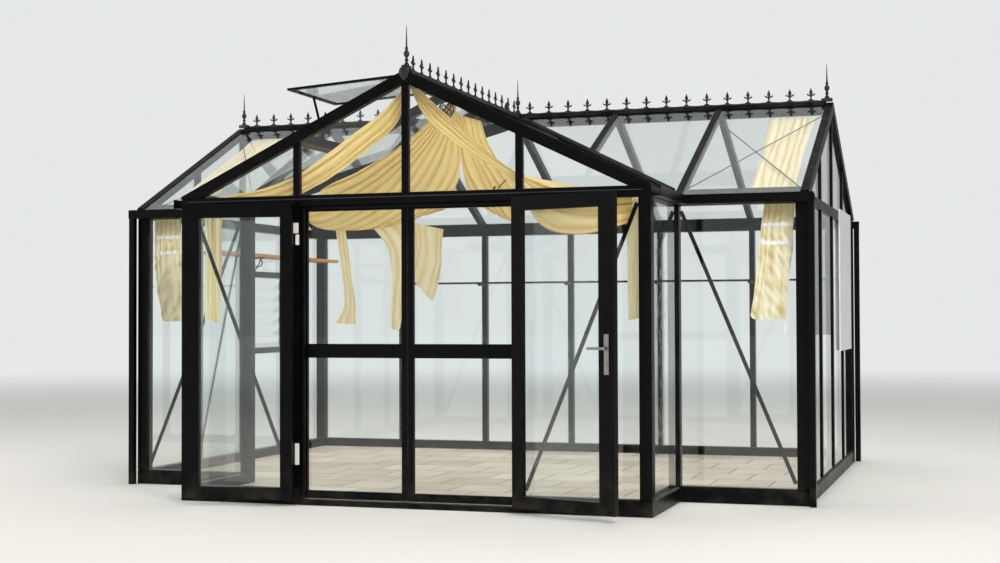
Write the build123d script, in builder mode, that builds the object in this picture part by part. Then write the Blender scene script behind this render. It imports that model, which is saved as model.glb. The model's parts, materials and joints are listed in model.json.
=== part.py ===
from build123d import *
import os
from math import atan2, cos, hypot, radians, sin, tan

os.makedirs("parts", exist_ok=True)

# A glass greenhouse on a T-shaped plan. The long body runs left to right, and a bay with a gable
# and double doors stands out of its front. The front faces -Y, and the ground is at Z = 0.

# Plan
module = 738.0
post = 76.0
bay_modules = 4
body_modules = 4
bay_half = bay_modules * module / 2 + post
body_half = bay_half + module + post
bay_depth = post + module
body_depth = body_modules * module + 2 * post
front_y = -(bay_depth + body_depth) / 2
wing_y = front_y + bay_depth
back_y = wing_y + body_depth
ridge_y = wing_y + body_depth / 2

# Heights
floor_top = 30.0
plinth_top = 100.0
ledge_drop = 12.0
threshold_top = 32.0
eave_low = 1884.0
eave_z = 1952.0
apex_z = 2700.0
ridge_top = 2720.0

# Glass and the grooves that hold it
glass = 4.0
glass_depth = 14.0
groove_clear = 0.3
groove_bite = 12.0
web_half = 6.0

# Bars
mullion = 44.0
mullion_front = 4.0
mullion_back = 60.0
bar_drop = 50.0
verge_drop = 60.0
cap_rise = 10.6
ridge_drop = 80.0
ridge_half = 22.0
ridge_cap_half = 40.0
crest_seat_half = 12.0
verge_overhang = 8.0
eave_overhang = 14.0
valley_half = 30.0
valley_drop = 72.0


def block(x, y, z, mode=Mode.ADD):
    """A box between two values of each coordinate."""
    with Locations((sum(x) / 2, sum(y) / 2, sum(z) / 2)):
        Box(x[1] - x[0], y[1] - y[0], z[1] - z[0], mode=mode)


def plate(plane, points, low, high, inset=0.0, mode=Mode.ADD):
    """A flat outline on a plane, from one height over the plane to another."""
    with BuildSketch(plane.offset(low)) as outline:
        with BuildLine():
            Polyline(*points, close=True)
        make_face()
        if inset:
            offset(amount=-inset, kind=Kind.INTERSECTION)
    extrude(outline.sketch, amount=high - low, mode=mode)


def rectangle(left, right, low, high):
    return [(left, low), (right, low), (right, high), (left, high)]


def keep(piece, name):
    """Writes one finished piece."""
    piece.label = name
    export_step(piece, f"parts/{name}.step")


class Wall:
    """A wall plane: X runs along it, Y goes up and Z points out. Edges are where its panes end."""

    def __init__(self, corner, outward, edges):
        self.outward = Vector(*outward, 0)
        self.along = Vector(0, 0, 1).cross(self.outward)
        self.origin = Vector(*corner, 0)
        self.plane = Plane(origin=self.origin, x_dir=self.along, z_dir=self.outward)
        self.edges = edges

    def section(self, start):
        """A plane across the wall: X goes inwards and Y up."""
        origin = self.origin + self.along * start
        return Plane(origin=origin, x_dir=-self.outward, z_dir=self.along)

    def run(self, points, start, end, mode=Mode.ADD):
        """A profile of depth and height, run along the wall."""
        plate(self.section(start), points, 0, end - start, mode=mode)

    def fields(self):
        """The glazed fields, each to the middle of its mullions or into the posts' grooves."""
        lines = [self.edges[0] - groove_bite, *self.edges[1:-1], self.edges[-1] + groove_bite]
        return list(zip(lines, lines[1:]))


def steps(first, count, size):
    return [first + size * n for n in range(count + 1)]


bay_clear = bay_half - post
roof_bar_xs = [bay_half / 2, bay_half]
rear_lines = [post, *[body_half - x for x in (bay_half, bay_half / 2, 0)]]
rear_lines += [body_half + x for x in (bay_half / 2, bay_half)] + [2 * body_half - post]
walls = {
    "front": Wall((-bay_half, front_y), (0, -1), steps(post, bay_modules, module)),
    "wing_left": Wall((-body_half, wing_y), (0, -1), [post, post + module]),
    "wing_right": Wall((bay_half, wing_y), (0, -1), [0, module]),
    "bay_left": Wall((-bay_half, wing_y), (-1, 0), [0, module]),
    "bay_right": Wall((bay_half, front_y), (1, 0), [post, post + module]),
    "left": Wall((-body_half, back_y), (-1, 0), steps(post, body_modules, module)),
    "right": Wall((body_half, wing_y), (1, 0), steps(post, body_modules, module)),
    "rear": Wall((body_half, back_y), (0, 1), rear_lines),
}
front, left, right, rear = walls["front"], walls["left"], walls["right"], walls["rear"]

# Roof planes. Each passes through its eave at the wall's outer face and through the ridge.
rise = apex_z - eave_z
body_run = body_depth / 2
bay_run = bay_half


class Slope:
    """A roof plane: X runs along the eave, Y up the slope and Z out of it."""

    def __init__(self, eave_point, outward, run):
        self.run = run
        self.angle = atan2(rise, run)
        flat = Vector(*outward, 0)
        up = Vector(0, 0, 1)
        self.along = up.cross(flat)
        self.length = hypot(rise, run)
        self.origin = Vector(*eave_point, eave_z)
        normal = flat * sin(self.angle) + up * cos(self.angle)
        self.plane = Plane(origin=self.origin, x_dir=self.along, z_dir=normal)
        self.flat = flat

    def up_slope(self, inward):
        """The distance up the slope at a distance in from the wall."""
        return inward / cos(self.angle)

    def height(self, inward):
        return eave_z + inward * tan(self.angle)

    def upright(self, thickness):
        """A thickness square to the slope, measured upright."""
        return thickness / cos(self.angle)

    def section(self, along):
        """An upright plane across the eave: X goes inwards and Y up, from the ground."""
        origin = self.origin + self.along * along - Vector(0, 0, eave_z)
        return Plane(origin=origin, x_dir=-self.flat, z_dir=self.along)


slope_front = Slope((0, wing_y), (0, -1), body_run)
slope_rear = Slope((0, back_y), (0, 1), body_run)
slope_bay_left = Slope((-bay_half, front_y), (-1, 0), bay_run)
slope_bay_right = Slope((bay_half, front_y), (1, 0), bay_run)


def floor_slab():
    joint = 3.0
    with BuildPart() as paved_floor:
        x = body_half - post
        block((-x, x), (wing_y + post + joint, back_y - post), (0, floor_top))
        x = bay_clear
        block((-x, x), (front_y + post, wing_y + post), (0, floor_top))
    keep(paved_floor.part, "paved_floor")


# Panes first: their outlines, grown by a clearance, also cut the grooves of what holds them.
def wall_fields(wall, skip=()):
    low, high = plinth_top - groove_bite, eave_low + groove_bite
    return [rectangle(a, b, low, high) for n, (a, b) in enumerate(wall.fields()) if n not in skip]


def panes(jobs):
    """Panes of glass and, grown by the clearance, the grooves that hold them."""
    with BuildPart() as sheets:
        for plane, outline, low in jobs:
            plate(plane, outline, low, low + glass, inset=web_half)
    with BuildPart() as grooves:
        for plane, outline, low in jobs:
            sides = low - groove_clear, low + glass + groove_clear
            plate(plane, outline, *sides, inset=web_half - groove_clear)
    return sheets.part, grooves.part


def wall_jobs(wall, skip=()):
    return [(wall.plane, outline, -glass_depth - glass) for outline in wall_fields(wall, skip)]


door_fields = (1, 2)
louvre_field = 1
front_glass, front_grooves = panes(wall_jobs(front, door_fields))
side_names = ("wing_left", "wing_right", "bay_left", "bay_right")
side_glass, side_grooves = panes([job for name in side_names for job in wall_jobs(walls[name])])

# The louvre window takes the middle of one field of the left end, between two transoms.
louvre_low, louvre_high = 905.0, 1540.0
transom = 40.0
louvre_left, louvre_right = left.fields()[louvre_field]
louvre_cells = [
    rectangle(louvre_left, louvre_right, plinth_top - groove_bite, louvre_low),
    rectangle(louvre_left, louvre_right, louvre_high, eave_low + groove_bite),
]
left_jobs = wall_jobs(left, (louvre_field,))
left_jobs += [(left.plane, cell, -glass_depth - glass) for cell in louvre_cells]
left_glass, left_grooves = panes(left_jobs)
right_glass, right_grooves = panes(wall_jobs(right))
rear_glass, rear_grooves = panes(wall_jobs(rear))
with BuildPart() as wall_panes:
    add([front_glass, side_glass, left_glass, right_glass, rear_glass])
keep(wall_panes.part, "wall_panes")


def valley_x(inward):
    """How far a valley stands from the middle at a distance in from the body's front wall."""
    return bay_half * (1 - inward / body_run)


def valley_inward(x):
    return body_run * (1 - x / bay_half)


# Roof panes
def slope_outline(slope, points):
    """Points given as place along the eave and distance in from the wall."""
    return [(along, slope.up_slope(inward)) for along, inward in points]


def main_front_jobs():
    jobs = []
    out = -eave_overhang - web_half
    end_field = [(bay_half, out), (body_half, out), (body_half, body_run), (bay_half, body_run)]
    middle, half = roof_bar_xs[0], body_run
    middle_field = [
        (bay_half, valley_inward(bay_half)),
        (bay_half, half),
        (middle, half),
        (middle, valley_inward(middle)),
    ]
    inner_field = [(middle, valley_inward(middle)), (middle, half), (0, half)]
    for field in (end_field, middle_field, inner_field):
        jobs.append(slope_outline(slope_front, field))
        jobs.append(slope_outline(slope_front, [(-x, inward) for x, inward in field]))
    return [(slope_front.plane, outline, 0) for outline in jobs]


def main_rear_jobs():
    out = -eave_overhang - web_half
    lines = [-body_half, -bay_half, -bay_half / 2, 0, bay_half / 2, bay_half, body_half]
    return [
        (slope_rear.plane, slope_outline(slope_rear, rectangle(a, b, out, body_run)), 0)
        for a, b in zip(lines, lines[1:])
    ]


# The bay's slopes. Distances run back from the front gable, and each slope ends in a valley.
bay_bar_lines = [bay_depth, bay_depth + body_run / 2]
vent_low_inward = bay_run * 0.52


def bay_valley_inward(back):
    """How far in from the bay's eave the valley stands at a distance back from the gable."""
    return bay_run * (back - bay_depth) / body_run


def bay_jobs(slope, turn):
    out = -eave_overhang - web_half
    first, second = bay_bar_lines
    end = bay_depth + body_run
    # The lowest pane stops short of the body's panes where the two eaves meet.
    lower = rectangle(0, first + web_half - eave_overhang - glass, out, vent_low_inward)
    upper = rectangle(0, first, vent_low_inward, bay_run)
    middle = [
        (first, bay_valley_inward(first)),
        (second, bay_valley_inward(second)),
        (second, bay_run),
        (first, bay_run),
    ]
    inner = [(second, bay_valley_inward(second)), (end, bay_run), (second, bay_run)]
    outlines = [slope_outline(slope, [(turn * a, b) for a, b in field]) for field in (lower, middle, inner)]
    vent = slope_outline(slope, [(turn * a, b) for a, b in upper])
    return [(slope.plane, outline, 0) for outline in outlines], vent


bay_left_jobs, vent_left = bay_jobs(slope_bay_left, -1)
bay_right_jobs, vent_right = bay_jobs(slope_bay_right, 1)
main_front_glass, main_front_grooves = panes(main_front_jobs())
main_rear_glass, main_rear_grooves = panes(main_rear_jobs())
bay_glass, bay_grooves = panes(bay_left_jobs + bay_right_jobs)
with BuildPart() as roof_panes:
    add([main_front_glass, main_rear_glass, bay_glass])
keep(roof_panes.part, "roof_panes")

# Gable panes, between the tie beam, the gable mullions and the verge rafters
class Gable:
    """A gable over one wall, with its mullions on the wall's module lines."""

    def __init__(self, wall, slope, width, mullions):
        self.wall, self.slope, self.half = wall, slope, width / 2
        self.mullions = mullions

    def under(self, along, drop=verge_drop):
        """The underside of the verge rafters at a place along the wall."""
        inward = self.half - abs(along - self.half)
        return self.slope.height(inward) - self.slope.upright(drop)

    def jobs(self):
        bite = self.slope.upright(groove_bite)
        low = eave_z - groove_bite
        reach = (self.slope.upright(verge_drop) - groove_bite - bite) / tan(self.slope.angle)
        lines = [reach, *self.mullions, 2 * self.half - reach]
        jobs = []
        for a, b in zip(lines, lines[1:]):
            tops = [(b, self.under(b) + bite), (a, self.under(a) + bite)]
            outline = [(a, low), (b, low)] + [top for top in tops if top[1] > low + 1]
            jobs.append((self.wall.plane, outline, -glass_depth - glass))
        return jobs


gables = {
    "front": Gable(front, slope_bay_left, 2 * bay_half, front.edges[1:-1]),
    "left": Gable(left, slope_front, body_depth, left.edges[1:-1]),
    "right": Gable(right, slope_front, body_depth, right.edges[1:-1]),
}
gable_glass, gable_grooves = panes([job for gable in gables.values() for job in gable.jobs()])
keep(gable_glass, "gable_panes")

floor_slab()


# Plinth, with a sloped ledge under the glass
ledge = 10.0
plinth_profile = [
    (0, 0),
    (post, 0),
    (post, plinth_top),
    (ledge, plinth_top),
    (0, plinth_top - ledge_drop),
]
jamb_left, jamb_right = front.edges[1], front.edges[-2]
wall_grooves = [front_grooves, side_grooves, left_grooves, right_grooves, rear_grooves]
with BuildPart() as front_plinth:
    front.run(plinth_profile, 0, jamb_left + mullion / 2)
    front.run(plinth_profile, jamb_right - mullion / 2, 2 * bay_half)
    add(wall_grooves, mode=Mode.SUBTRACT)
keep(front_plinth.part, "front_plinth")

# The inner doors turn on pins in the threshold and the tie beam.
door_left, door_right = jamb_left + mullion / 2, jamb_right - mullion / 2
door_half = (door_right - door_left) / 2
inner_gap = 12.0
inner_back, inner_front = 72.0, 46.0
inner_pivot = 10.0
inner_pin = 5.0
pin_clear = 0.1
pin_depth = 12.0
threshold_nose = 6.0
pivot_x = door_half - inner_gap - inner_pivot
pivot_y = front_y + (inner_back + inner_front) / 2
with BuildPart() as threshold:
    front.run(rectangle(-threshold_nose, post, 0, threshold_top), door_left, door_right)
    for x in (-pivot_x, pivot_x):
        with Locations((x, pivot_y, threshold_top)):
            Hole(inner_pin + pin_clear, depth=pin_depth)
keep(threshold.part, "threshold")

with BuildPart() as bay_plinths:
    walls["bay_right"].run(plinth_profile, post, bay_depth + post)
    walls["bay_left"].run(plinth_profile, -post, bay_depth - post)
    add(side_grooves, mode=Mode.SUBTRACT)
keep(bay_plinths.part, "bay_plinths")

with BuildPart() as wing_plinths:
    walls["wing_right"].run(plinth_profile, 0, post + module)
    walls["wing_left"].run(plinth_profile, 0, post + module)
    add(wall_grooves, mode=Mode.SUBTRACT)
keep(wing_plinths.part, "wing_plinths")

with BuildPart() as end_plinths:
    right.run(plinth_profile, post, body_depth - post)
    left.run(plinth_profile, post, body_depth - post)
    add([left_grooves, right_grooves], mode=Mode.SUBTRACT)
keep(end_plinths.part, "end_plinths")

with BuildPart() as rear_plinth:
    rear.run(plinth_profile, 0, 2 * body_half)
    add(wall_grooves, mode=Mode.SUBTRACT)
keep(rear_plinth.part, "rear_plinth")

# Corner posts
with BuildPart() as corner_posts:
    for half, y in (
        (bay_half, front_y),
        (bay_half, wing_y),
        (body_half, wing_y),
        (body_half, back_y - post),
    ):
        for x in (-half, half - post):
            block((x, x + post), (y, y + post), (plinth_top, eave_low))
    add(wall_grooves, mode=Mode.SUBTRACT)
keep(corner_posts.part, "corner_posts")


# Mullions
def wall_bars(wall, lines, low, high, width=mullion):
    for line in lines:
        outline = rectangle(line - width / 2, line + width / 2, low, high)
        plate(wall.plane, outline, -mullion_back, -mullion_front)


with BuildPart() as mullions:
    wall_bars(front, (jamb_left, jamb_right), plinth_top, eave_low)
    for wall in (left, right, rear):
        wall_bars(wall, wall.edges[1:-1], plinth_top, eave_low)
    add([front_grooves, left_grooves, right_grooves, rear_grooves], mode=Mode.SUBTRACT)
keep(mullions.part, "mullions")

# The louvre window: two transoms, side channels, and glass blades tilted in them
left_face, right_face = louvre_left + mullion / 2, louvre_right - mullion / 2
with BuildPart() as transoms:
    for z in (louvre_low, louvre_high):
        outline = rectangle(left_face, right_face, z - transom / 2, z + transom / 2)
        plate(left.plane, outline, -mullion_back, -mullion_front)
    add(left_grooves, mode=Mode.SUBTRACT)
keep(transoms.part, "transoms")

channel = 18.0
rail = 8.0
blade_count = 6
blade_width = 98.0
blade_lean = radians(25)
window_low, window_high = louvre_low + transom / 2, louvre_high - transom / 2
with BuildPart() as louvre_frame:
    outline = rectangle(left_face, right_face, window_low, window_high)
    plate(left.plane, outline, -mullion_back, -mullion_front)
    sides = left_face + channel, right_face - channel
    light = rectangle(*sides, window_low + rail, window_high - rail)
    plate(left.plane, light, -mullion_back, -mullion_front, mode=Mode.SUBTRACT)
keep(louvre_frame.part, "louvre_frame")

blade_pitch = (window_high - window_low - 2 * rail) / blade_count
blade_start, blade_end = sides[0] + groove_clear, sides[1] - groove_clear
with BuildPart() as louvre_blades:
    middle = (mullion_front + mullion_back) / 2
    along, out = sin(blade_lean), cos(blade_lean)
    blade = rectangle(-blade_width / 2, blade_width / 2, -glass / 2, glass / 2)
    for n in range(blade_count):
        height = window_low + rail + blade_pitch * (n + 0.5)
        points = [(middle + a * along + b * out, height + a * out - b * along) for a, b in blade]
        left.run(points, blade_start, blade_end)
keep(louvre_blades.part, "louvre_blades")

# Beams on the walls. Those under an eave have a sloped top that carries the glass.
tie_profile = rectangle(0, post, eave_low, eave_z)


def eave_profile(slope):
    return [(0, eave_low), (post, eave_low), (post, slope.height(post)), (0, eave_z)]


with BuildPart() as front_tie_beam:
    front.run(tie_profile, 0, 2 * bay_half)
    add([*wall_grooves, gable_grooves], mode=Mode.SUBTRACT)
    for x in (-pivot_x, pivot_x):
        with Locations((x, pivot_y, eave_low + pin_depth)):
            Hole(inner_pin + pin_clear, depth=pin_depth)
keep(front_tie_beam.part, "front_tie_beam")

roof_grooves = [main_front_grooves, main_rear_grooves, bay_grooves]
with BuildPart() as bay_eave_beams:
    walls["bay_right"].run(eave_profile(slope_bay_right), post, bay_depth + post)
    walls["bay_left"].run(eave_profile(slope_bay_left), -post, bay_depth - post)
    add([side_grooves, *roof_grooves], mode=Mode.SUBTRACT)
keep(bay_eave_beams.part, "bay_eave_beams")

with BuildPart() as body_eave_beams:
    walls["wing_right"].run(eave_profile(slope_front), 0, post + module)
    walls["wing_left"].run(eave_profile(slope_front), 0, post + module)
    rear.run(eave_profile(slope_rear), 0, 2 * body_half)
    add([*wall_grooves, *roof_grooves], mode=Mode.SUBTRACT)
keep(body_eave_beams.part, "body_eave_beams")
eave_beams = [bay_eave_beams.part, body_eave_beams.part]

with BuildPart() as end_tie_beams:
    left.run(tie_profile, post, body_depth - post)
    right.run(tie_profile, post, body_depth - post)
    add([left_grooves, right_grooves, gable_grooves], mode=Mode.SUBTRACT)
keep(end_tie_beams.part, "end_tie_beams")


# Ridges: a deep beam, a cap over the tops of the panes, and a flat seat for the cresting
def ridge_sketch(slope):
    low = apex_z - ridge_drop
    cap = slope.upright(cap_rise)
    fall = ridge_cap_half * tan(slope.angle)
    Polyline(
        (-ridge_half, low),
        (ridge_half, low),
        (ridge_half, apex_z - ridge_half * tan(slope.angle)),
        (ridge_cap_half, apex_z - fall),
        (ridge_cap_half, apex_z - fall + cap),
        (crest_seat_half, ridge_top),
        (-crest_seat_half, ridge_top),
        (-ridge_cap_half, apex_z - fall + cap),
        (-ridge_cap_half, apex_z - fall),
        (-ridge_half, apex_z - ridge_half * tan(slope.angle)),
        close=True,
    )


main_ridge_plane = Plane(origin=(-body_half + mullion, ridge_y, 0), x_dir=(0, 1, 0), z_dir=(1, 0, 0))
bay_ridge_plane = Plane(origin=(0, front_y + mullion, 0), x_dir=(-1, 0, 0), z_dir=(0, 1, 0))
with BuildPart() as ridge_beam:
    with BuildSketch(main_ridge_plane):
        with BuildLine():
            ridge_sketch(slope_front)
        make_face()
    extrude(amount=2 * (body_half - mullion))
    add(roof_grooves, mode=Mode.SUBTRACT)

with BuildPart() as bay_ridge_beam:
    with BuildSketch(bay_ridge_plane):
        with BuildLine():
            ridge_sketch(slope_bay_left)
        make_face()
    extrude(amount=bay_depth + body_run - mullion - ridge_half)
    # Its cap stops at the main ridge's cap, and only its body runs on under it.
    for x in ((-ridge_cap_half, -ridge_half), (ridge_half, ridge_cap_half)):
        block(x, (ridge_y - ridge_cap_half, ridge_y), (0, ridge_top), mode=Mode.SUBTRACT)
    add(ridge_beam.part, mode=Mode.SUBTRACT)
    add([bay_grooves, main_front_grooves], mode=Mode.SUBTRACT)
keep(ridge_beam.part, "ridge_beam")
keep(bay_ridge_beam.part, "bay_ridge_beam")

# Verge rafters, one pair to a gable, with a lip over the roof's end panes
with BuildPart() as verge_rafters:
    for gable in gables.values():
        slope, half = gable.slope, gable.half
        cap = slope.upright(cap_rise)
        inner = slope.upright(verge_drop) / tan(slope.angle)
        outline = [
            (0, eave_z),
            (inner, eave_z),
            (half, gable.under(half)),
            (2 * half - inner, eave_z),
            (2 * half, eave_z),
            (2 * half, eave_z + cap),
            (half, apex_z + cap),
            (0, eave_z + cap),
        ]
        plate(gable.wall.plane, outline, -mullion, verge_overhang)
    add([*eave_beams, gable_grooves, *roof_grooves], mode=Mode.SUBTRACT)
keep(verge_rafters.part, "verge_rafters")


# Valleys: a rafter whose top follows both slopes, from the inner corner to the ridges' crossing
def valley(side):
    length = hypot(bay_half, body_run)
    along = Vector(-side * bay_half, body_run, 0) / length
    across = along.cross(Vector(0, 0, 1))
    lift = slope_front.upright(cap_rise)
    body_side = valley_half * abs(across.Y) * rise / body_run
    bay_side = valley_half * abs(across.X) * rise / bay_half
    first, second = (body_side, bay_side) if across.Y > 0 else (bay_side, body_side)
    start = Plane(origin=(side * bay_half, wing_y, eave_z), x_dir=across, z_dir=along)
    up = 1 if start.y_dir.Z > 0 else -1
    points = [
        (-valley_half, up * (second + lift)),
        (0, up * lift),
        (valley_half, up * (first + lift)),
        (valley_half, -up * valley_drop),
        (-valley_half, -up * valley_drop),
    ]
    with BuildSketch(start) as outline:
        with BuildLine():
            Polyline(*points, close=True)
        make_face()
    climb = Vector(-side * bay_half, body_run, rise)
    extrude(outline.sketch, amount=climb.length, dir=tuple(climb / climb.length))


with BuildPart() as valleys:
    for side in (-1, 1):
        valley(side)
    # Both end square to the ridges at the top, and clear of the inner corners at the bottom.
    block((-ridge_half, ridge_half), (wing_y, back_y), (0, 2 * apex_z), mode=Mode.SUBTRACT)
    near_ridge = (-ridge_cap_half, ridge_cap_half), (ridge_y - ridge_cap_half, back_y)
    block(*near_ridge, (apex_z - ridge_half * tan(slope_front.angle), 2 * apex_z), mode=Mode.SUBTRACT)
    block((-bay_half, bay_half), (ridge_y - ridge_half, back_y), (0, 2 * apex_z), mode=Mode.SUBTRACT)
    reach = bay_half + post
    for x in ((-reach, post - bay_half), (bay_half - post, reach)):
        block(x, (wing_y - 2 * post, wing_y + post), (0, apex_z), mode=Mode.SUBTRACT)
    add([ridge_beam.part, bay_ridge_beam.part, *eave_beams], mode=Mode.SUBTRACT)
    add([main_front_grooves, bay_grooves], mode=Mode.SUBTRACT)
keep(valleys.part, "valleys")


# Glazing bars of the roof. Where one ends on a valley it starts just under the valley's edge.
into_valley = 3.0
valley_edge = valley_half * hypot(bay_half, body_run)
front_jack = valley_edge / bay_half - mullion / 2 * body_run / bay_half - into_valley
bay_jack = valley_edge / body_run - mullion / 2 * bay_half / body_run - into_valley


def roof_bar(slope, along, start, low_end=True, width=mullion):
    """A bar from a distance in from the wall up to the ridge, with its cap out over the eave."""
    body = slope.upright(bar_drop)
    cap = slope.upright(cap_rise)
    end = slope.run - ridge_half
    points = [
        (start, slope.height(start) - body),
        (end, slope.height(end) - body),
        (end, slope.height(end) + cap),
    ]
    if low_end:
        out = -eave_overhang
        points += [(out, slope.height(out) + cap), (out, slope.height(out)), (start, slope.height(start))]
    else:
        points += [(start, slope.height(start) + cap)]
    plate(slope.section(along), points, -width / 2, width / 2)


with BuildPart() as main_roof_bars:
    for x in (-bay_half, bay_half):
        roof_bar(slope_front, x, post)
    for x in (-bay_half / 2, bay_half / 2):
        roof_bar(slope_front, x, valley_inward(abs(x)) + front_jack, low_end=False)
    for x in (-bay_half, -bay_half / 2, 0, bay_half / 2, bay_half):
        roof_bar(slope_rear, x, post)
    add([ridge_beam.part, *eave_beams, valleys.part], mode=Mode.SUBTRACT)
    add(roof_grooves, mode=Mode.SUBTRACT)
keep(main_roof_bars.part, "main_roof_bars")

with BuildPart() as bay_roof_bars:
    first, second = bay_bar_lines
    for slope, turn in ((slope_bay_left, -1), (slope_bay_right, 1)):
        roof_bar(slope, turn * first, post)
        roof_bar(slope, turn * second, bay_valley_inward(second) + bay_jack, low_end=False)
        # The cross bar that the vent closes on
        a, b = vent_low_inward - mullion / 2, vent_low_inward + mullion / 2
        lip = vent_low_inward - cap_rise * sin(slope.angle)
        outline = [
            (a, slope.height(a) - slope.upright(bar_drop)),
            (b, slope.height(b) - slope.upright(bar_drop)),
            (b, slope.height(b)),
            (vent_low_inward, slope.height(vent_low_inward)),
            (lip, slope.height(vent_low_inward) + cap_rise * cos(slope.angle)),
            (a, slope.height(a) + slope.upright(cap_rise)),
        ]
        ends = mullion + groove_clear, first - mullion / 2 - groove_clear
        near, far = sorted((turn * ends[0], turn * ends[1]))
        plate(slope.section(0), outline, near, far)
    add([ridge_beam.part, bay_ridge_beam.part, *eave_beams, valleys.part], mode=Mode.SUBTRACT)
    add([*roof_grooves, verge_rafters.part, main_roof_bars.part], mode=Mode.SUBTRACT)
keep(bay_roof_bars.part, "bay_roof_bars")

# Gable mullions
with BuildPart() as gable_mullions:
    for gable in gables.values():
        for line in gable.mullions:
            a, b = line - mullion / 2, line + mullion / 2
            tops = [(b, gable.under(b)), (a, gable.under(a))]
            if a < gable.half < b:
                tops.insert(1, (gable.half, gable.under(gable.half)))
            plate(gable.wall.plane, [(a, eave_z), (b, eave_z), *tops], -mullion, -mullion_front)
    add(gable_grooves, mode=Mode.SUBTRACT)
keep(gable_mullions.part, "gable_mullions")

# Gutters on the eaves, with downpipes at the outer corners
gutter_out = 60.0
gutter_low, gutter_high = 1888.0, 1942.0
gutter_lip = 6.0
gutter_wall = 3.0
pipe = 40.0
pipe_gap = 4.0
pipe_inset = 8.0
gutter_profile = [
    (-gutter_out, gutter_high + gutter_lip),
    (-gutter_out, gutter_low),
    (0, gutter_low),
    (0, gutter_high),
    (-gutter_wall, gutter_high),
    (-gutter_wall, gutter_low + gutter_wall),
    (gutter_wall - gutter_out, gutter_low + gutter_wall),
    (gutter_wall - gutter_out, gutter_high + gutter_lip),
]
pipe_reach = pipe_gap + pipe
with BuildPart() as gutters:
    # The bay's gutters stop short of the body's roof panes.
    stop = eave_overhang + glass
    walls["bay_right"].run(gutter_profile, 0, bay_depth - stop)
    walls["bay_left"].run(gutter_profile, stop, bay_depth)
    gap = gutter_out + groove_clear
    walls["wing_right"].run(gutter_profile, gap, post + module + pipe_reach)
    walls["wing_left"].run(gutter_profile, -pipe_reach, post + module - gap)
    rear.run(gutter_profile, -pipe_reach, 2 * body_half + pipe_reach)
keep(gutters.part, "gutters")

with BuildPart() as downpipes:
    for x in (-body_half - pipe_reach, body_half + pipe_gap):
        for y in (wing_y - gutter_out + pipe_inset, back_y + gutter_out - pipe_inset - pipe):
            block((x, x + pipe), (y, y + pipe), (0, gutter_low))
keep(downpipes.part, "downpipes")


# Flat-bar braces inside the glass, corner to corner of a field
brace_width = 25.0
brace_thick = 4.0
brace_front = 22.0
brace_inset = 34.0


def brace(wall, top, foot):
    """A brace whose corners reach the faces that stand at its top and foot along the wall."""
    turn = 1 if foot > top else -1
    high, low = eave_low - brace_inset, plinth_top + brace_inset
    length = hypot(foot - top, high - low)
    side = brace_width / 2 * (high - low) / length
    rise = brace_width / 2 * abs(foot - top) / length
    start, end = top + turn * (side + groove_clear), foot - turn * (side + groove_clear)
    outline = [(start + turn * side, high + rise), (end + turn * side, low + rise)]
    outline += [(end - turn * side, low - rise), (start - turn * side, high - rise)]
    plate(wall.plane, outline, -brace_front - brace_thick, -brace_front)


with BuildPart() as wall_braces:
    edges = front.edges
    brace(front, edges[0], jamb_left - mullion / 2)
    brace(front, edges[-1], jamb_right + mullion / 2)
    brace(walls["wing_right"], 0, module)
    brace(walls["wing_left"], post + module, post)
    brace(left, left.edges[2] + mullion / 2, left.edges[3] - mullion / 2)
keep(wall_braces.part, "wall_braces")

# Crossed braces under the end bay of the front slope, one lying on the other
roof_brace_width = 16.0
roof_brace_thick = 3.0
roof_brace_inset = 60.0
with BuildPart() as roof_braces:
    low, high = post + roof_brace_inset, body_run - ridge_half - roof_brace_inset
    for side in (-1, 1):
        near, far = bay_half - mullion / 2, body_half - mullion - groove_clear
        for n, (start, end) in enumerate((((near, low), (far, high)), ((far, low), (near, high)))):
            half = roof_brace_width / 2
            points = [start, end, (end[0], end[1] + 2 * half), (start[0], start[1] + 2 * half)]
            drop = bar_drop + groove_clear + n * (roof_brace_thick + groove_clear)
            outline = slope_outline(slope_front, [(side * a, b) for a, b in points])
            plate(slope_front.plane, outline, -drop - roof_brace_thick, -drop)
keep(roof_braces.part, "roof_braces")


# Roof vents on the bay, hinged along the edge of the ridge's cap. The left one stands open.
vent_opening = radians(22)
vent_rail = 30.0
vent_thick = 14.0
vent_gap = 3.0
vent_glass_low = 5.0
vent_hinge_inward = bay_run - ridge_cap_half - groove_clear


def vent_plane(slope, opening):
    """The vent's own plane: X along the hinge, Y up to the hinge and Z out of the vent."""
    hinge = slope.plane.from_local_coords((0, slope.up_slope(vent_hinge_inward), cap_rise))
    steep = slope.angle - opening
    normal = slope.flat * sin(steep) + Vector(0, 0, 1) * cos(steep)
    return Plane(origin=hinge, x_dir=slope.along, z_dir=normal)


vent_reach = slope_bay_left.up_slope(vent_hinge_inward - vent_low_inward) - vent_gap
vent_span = mullion + vent_gap, bay_depth - mullion / 2 - vent_gap
vent_places = [(slope_bay_left, -1, vent_opening), (slope_bay_right, 1, 0.0)]
vent_glass = []
with BuildPart() as vent_frames:
    for slope, turn, opening in vent_places:
        plane = vent_plane(slope, opening)
        near, far = sorted(turn * along for along in vent_span)
        outline = rectangle(near, far, -vent_reach, 0)
        low = groove_clear - cap_rise
        plate(plane, outline, low, low + vent_thick)
        plate(plane, outline, low, low + vent_thick, inset=vent_rail, mode=Mode.SUBTRACT)
        vent_glass.append((plane, outline, low + vent_glass_low))
    for plane, outline, low in vent_glass:
        inset = vent_rail - groove_bite - groove_clear
        plate(plane, outline, low - groove_clear, low + glass + groove_clear, inset, mode=Mode.SUBTRACT)
keep(vent_frames.part, "vent_frames")

with BuildPart() as vent_panes:
    for plane, outline, low in vent_glass:
        plate(plane, outline, low, low + glass, inset=vent_rail - groove_bite)
keep(vent_panes.part, "vent_panes")

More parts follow.
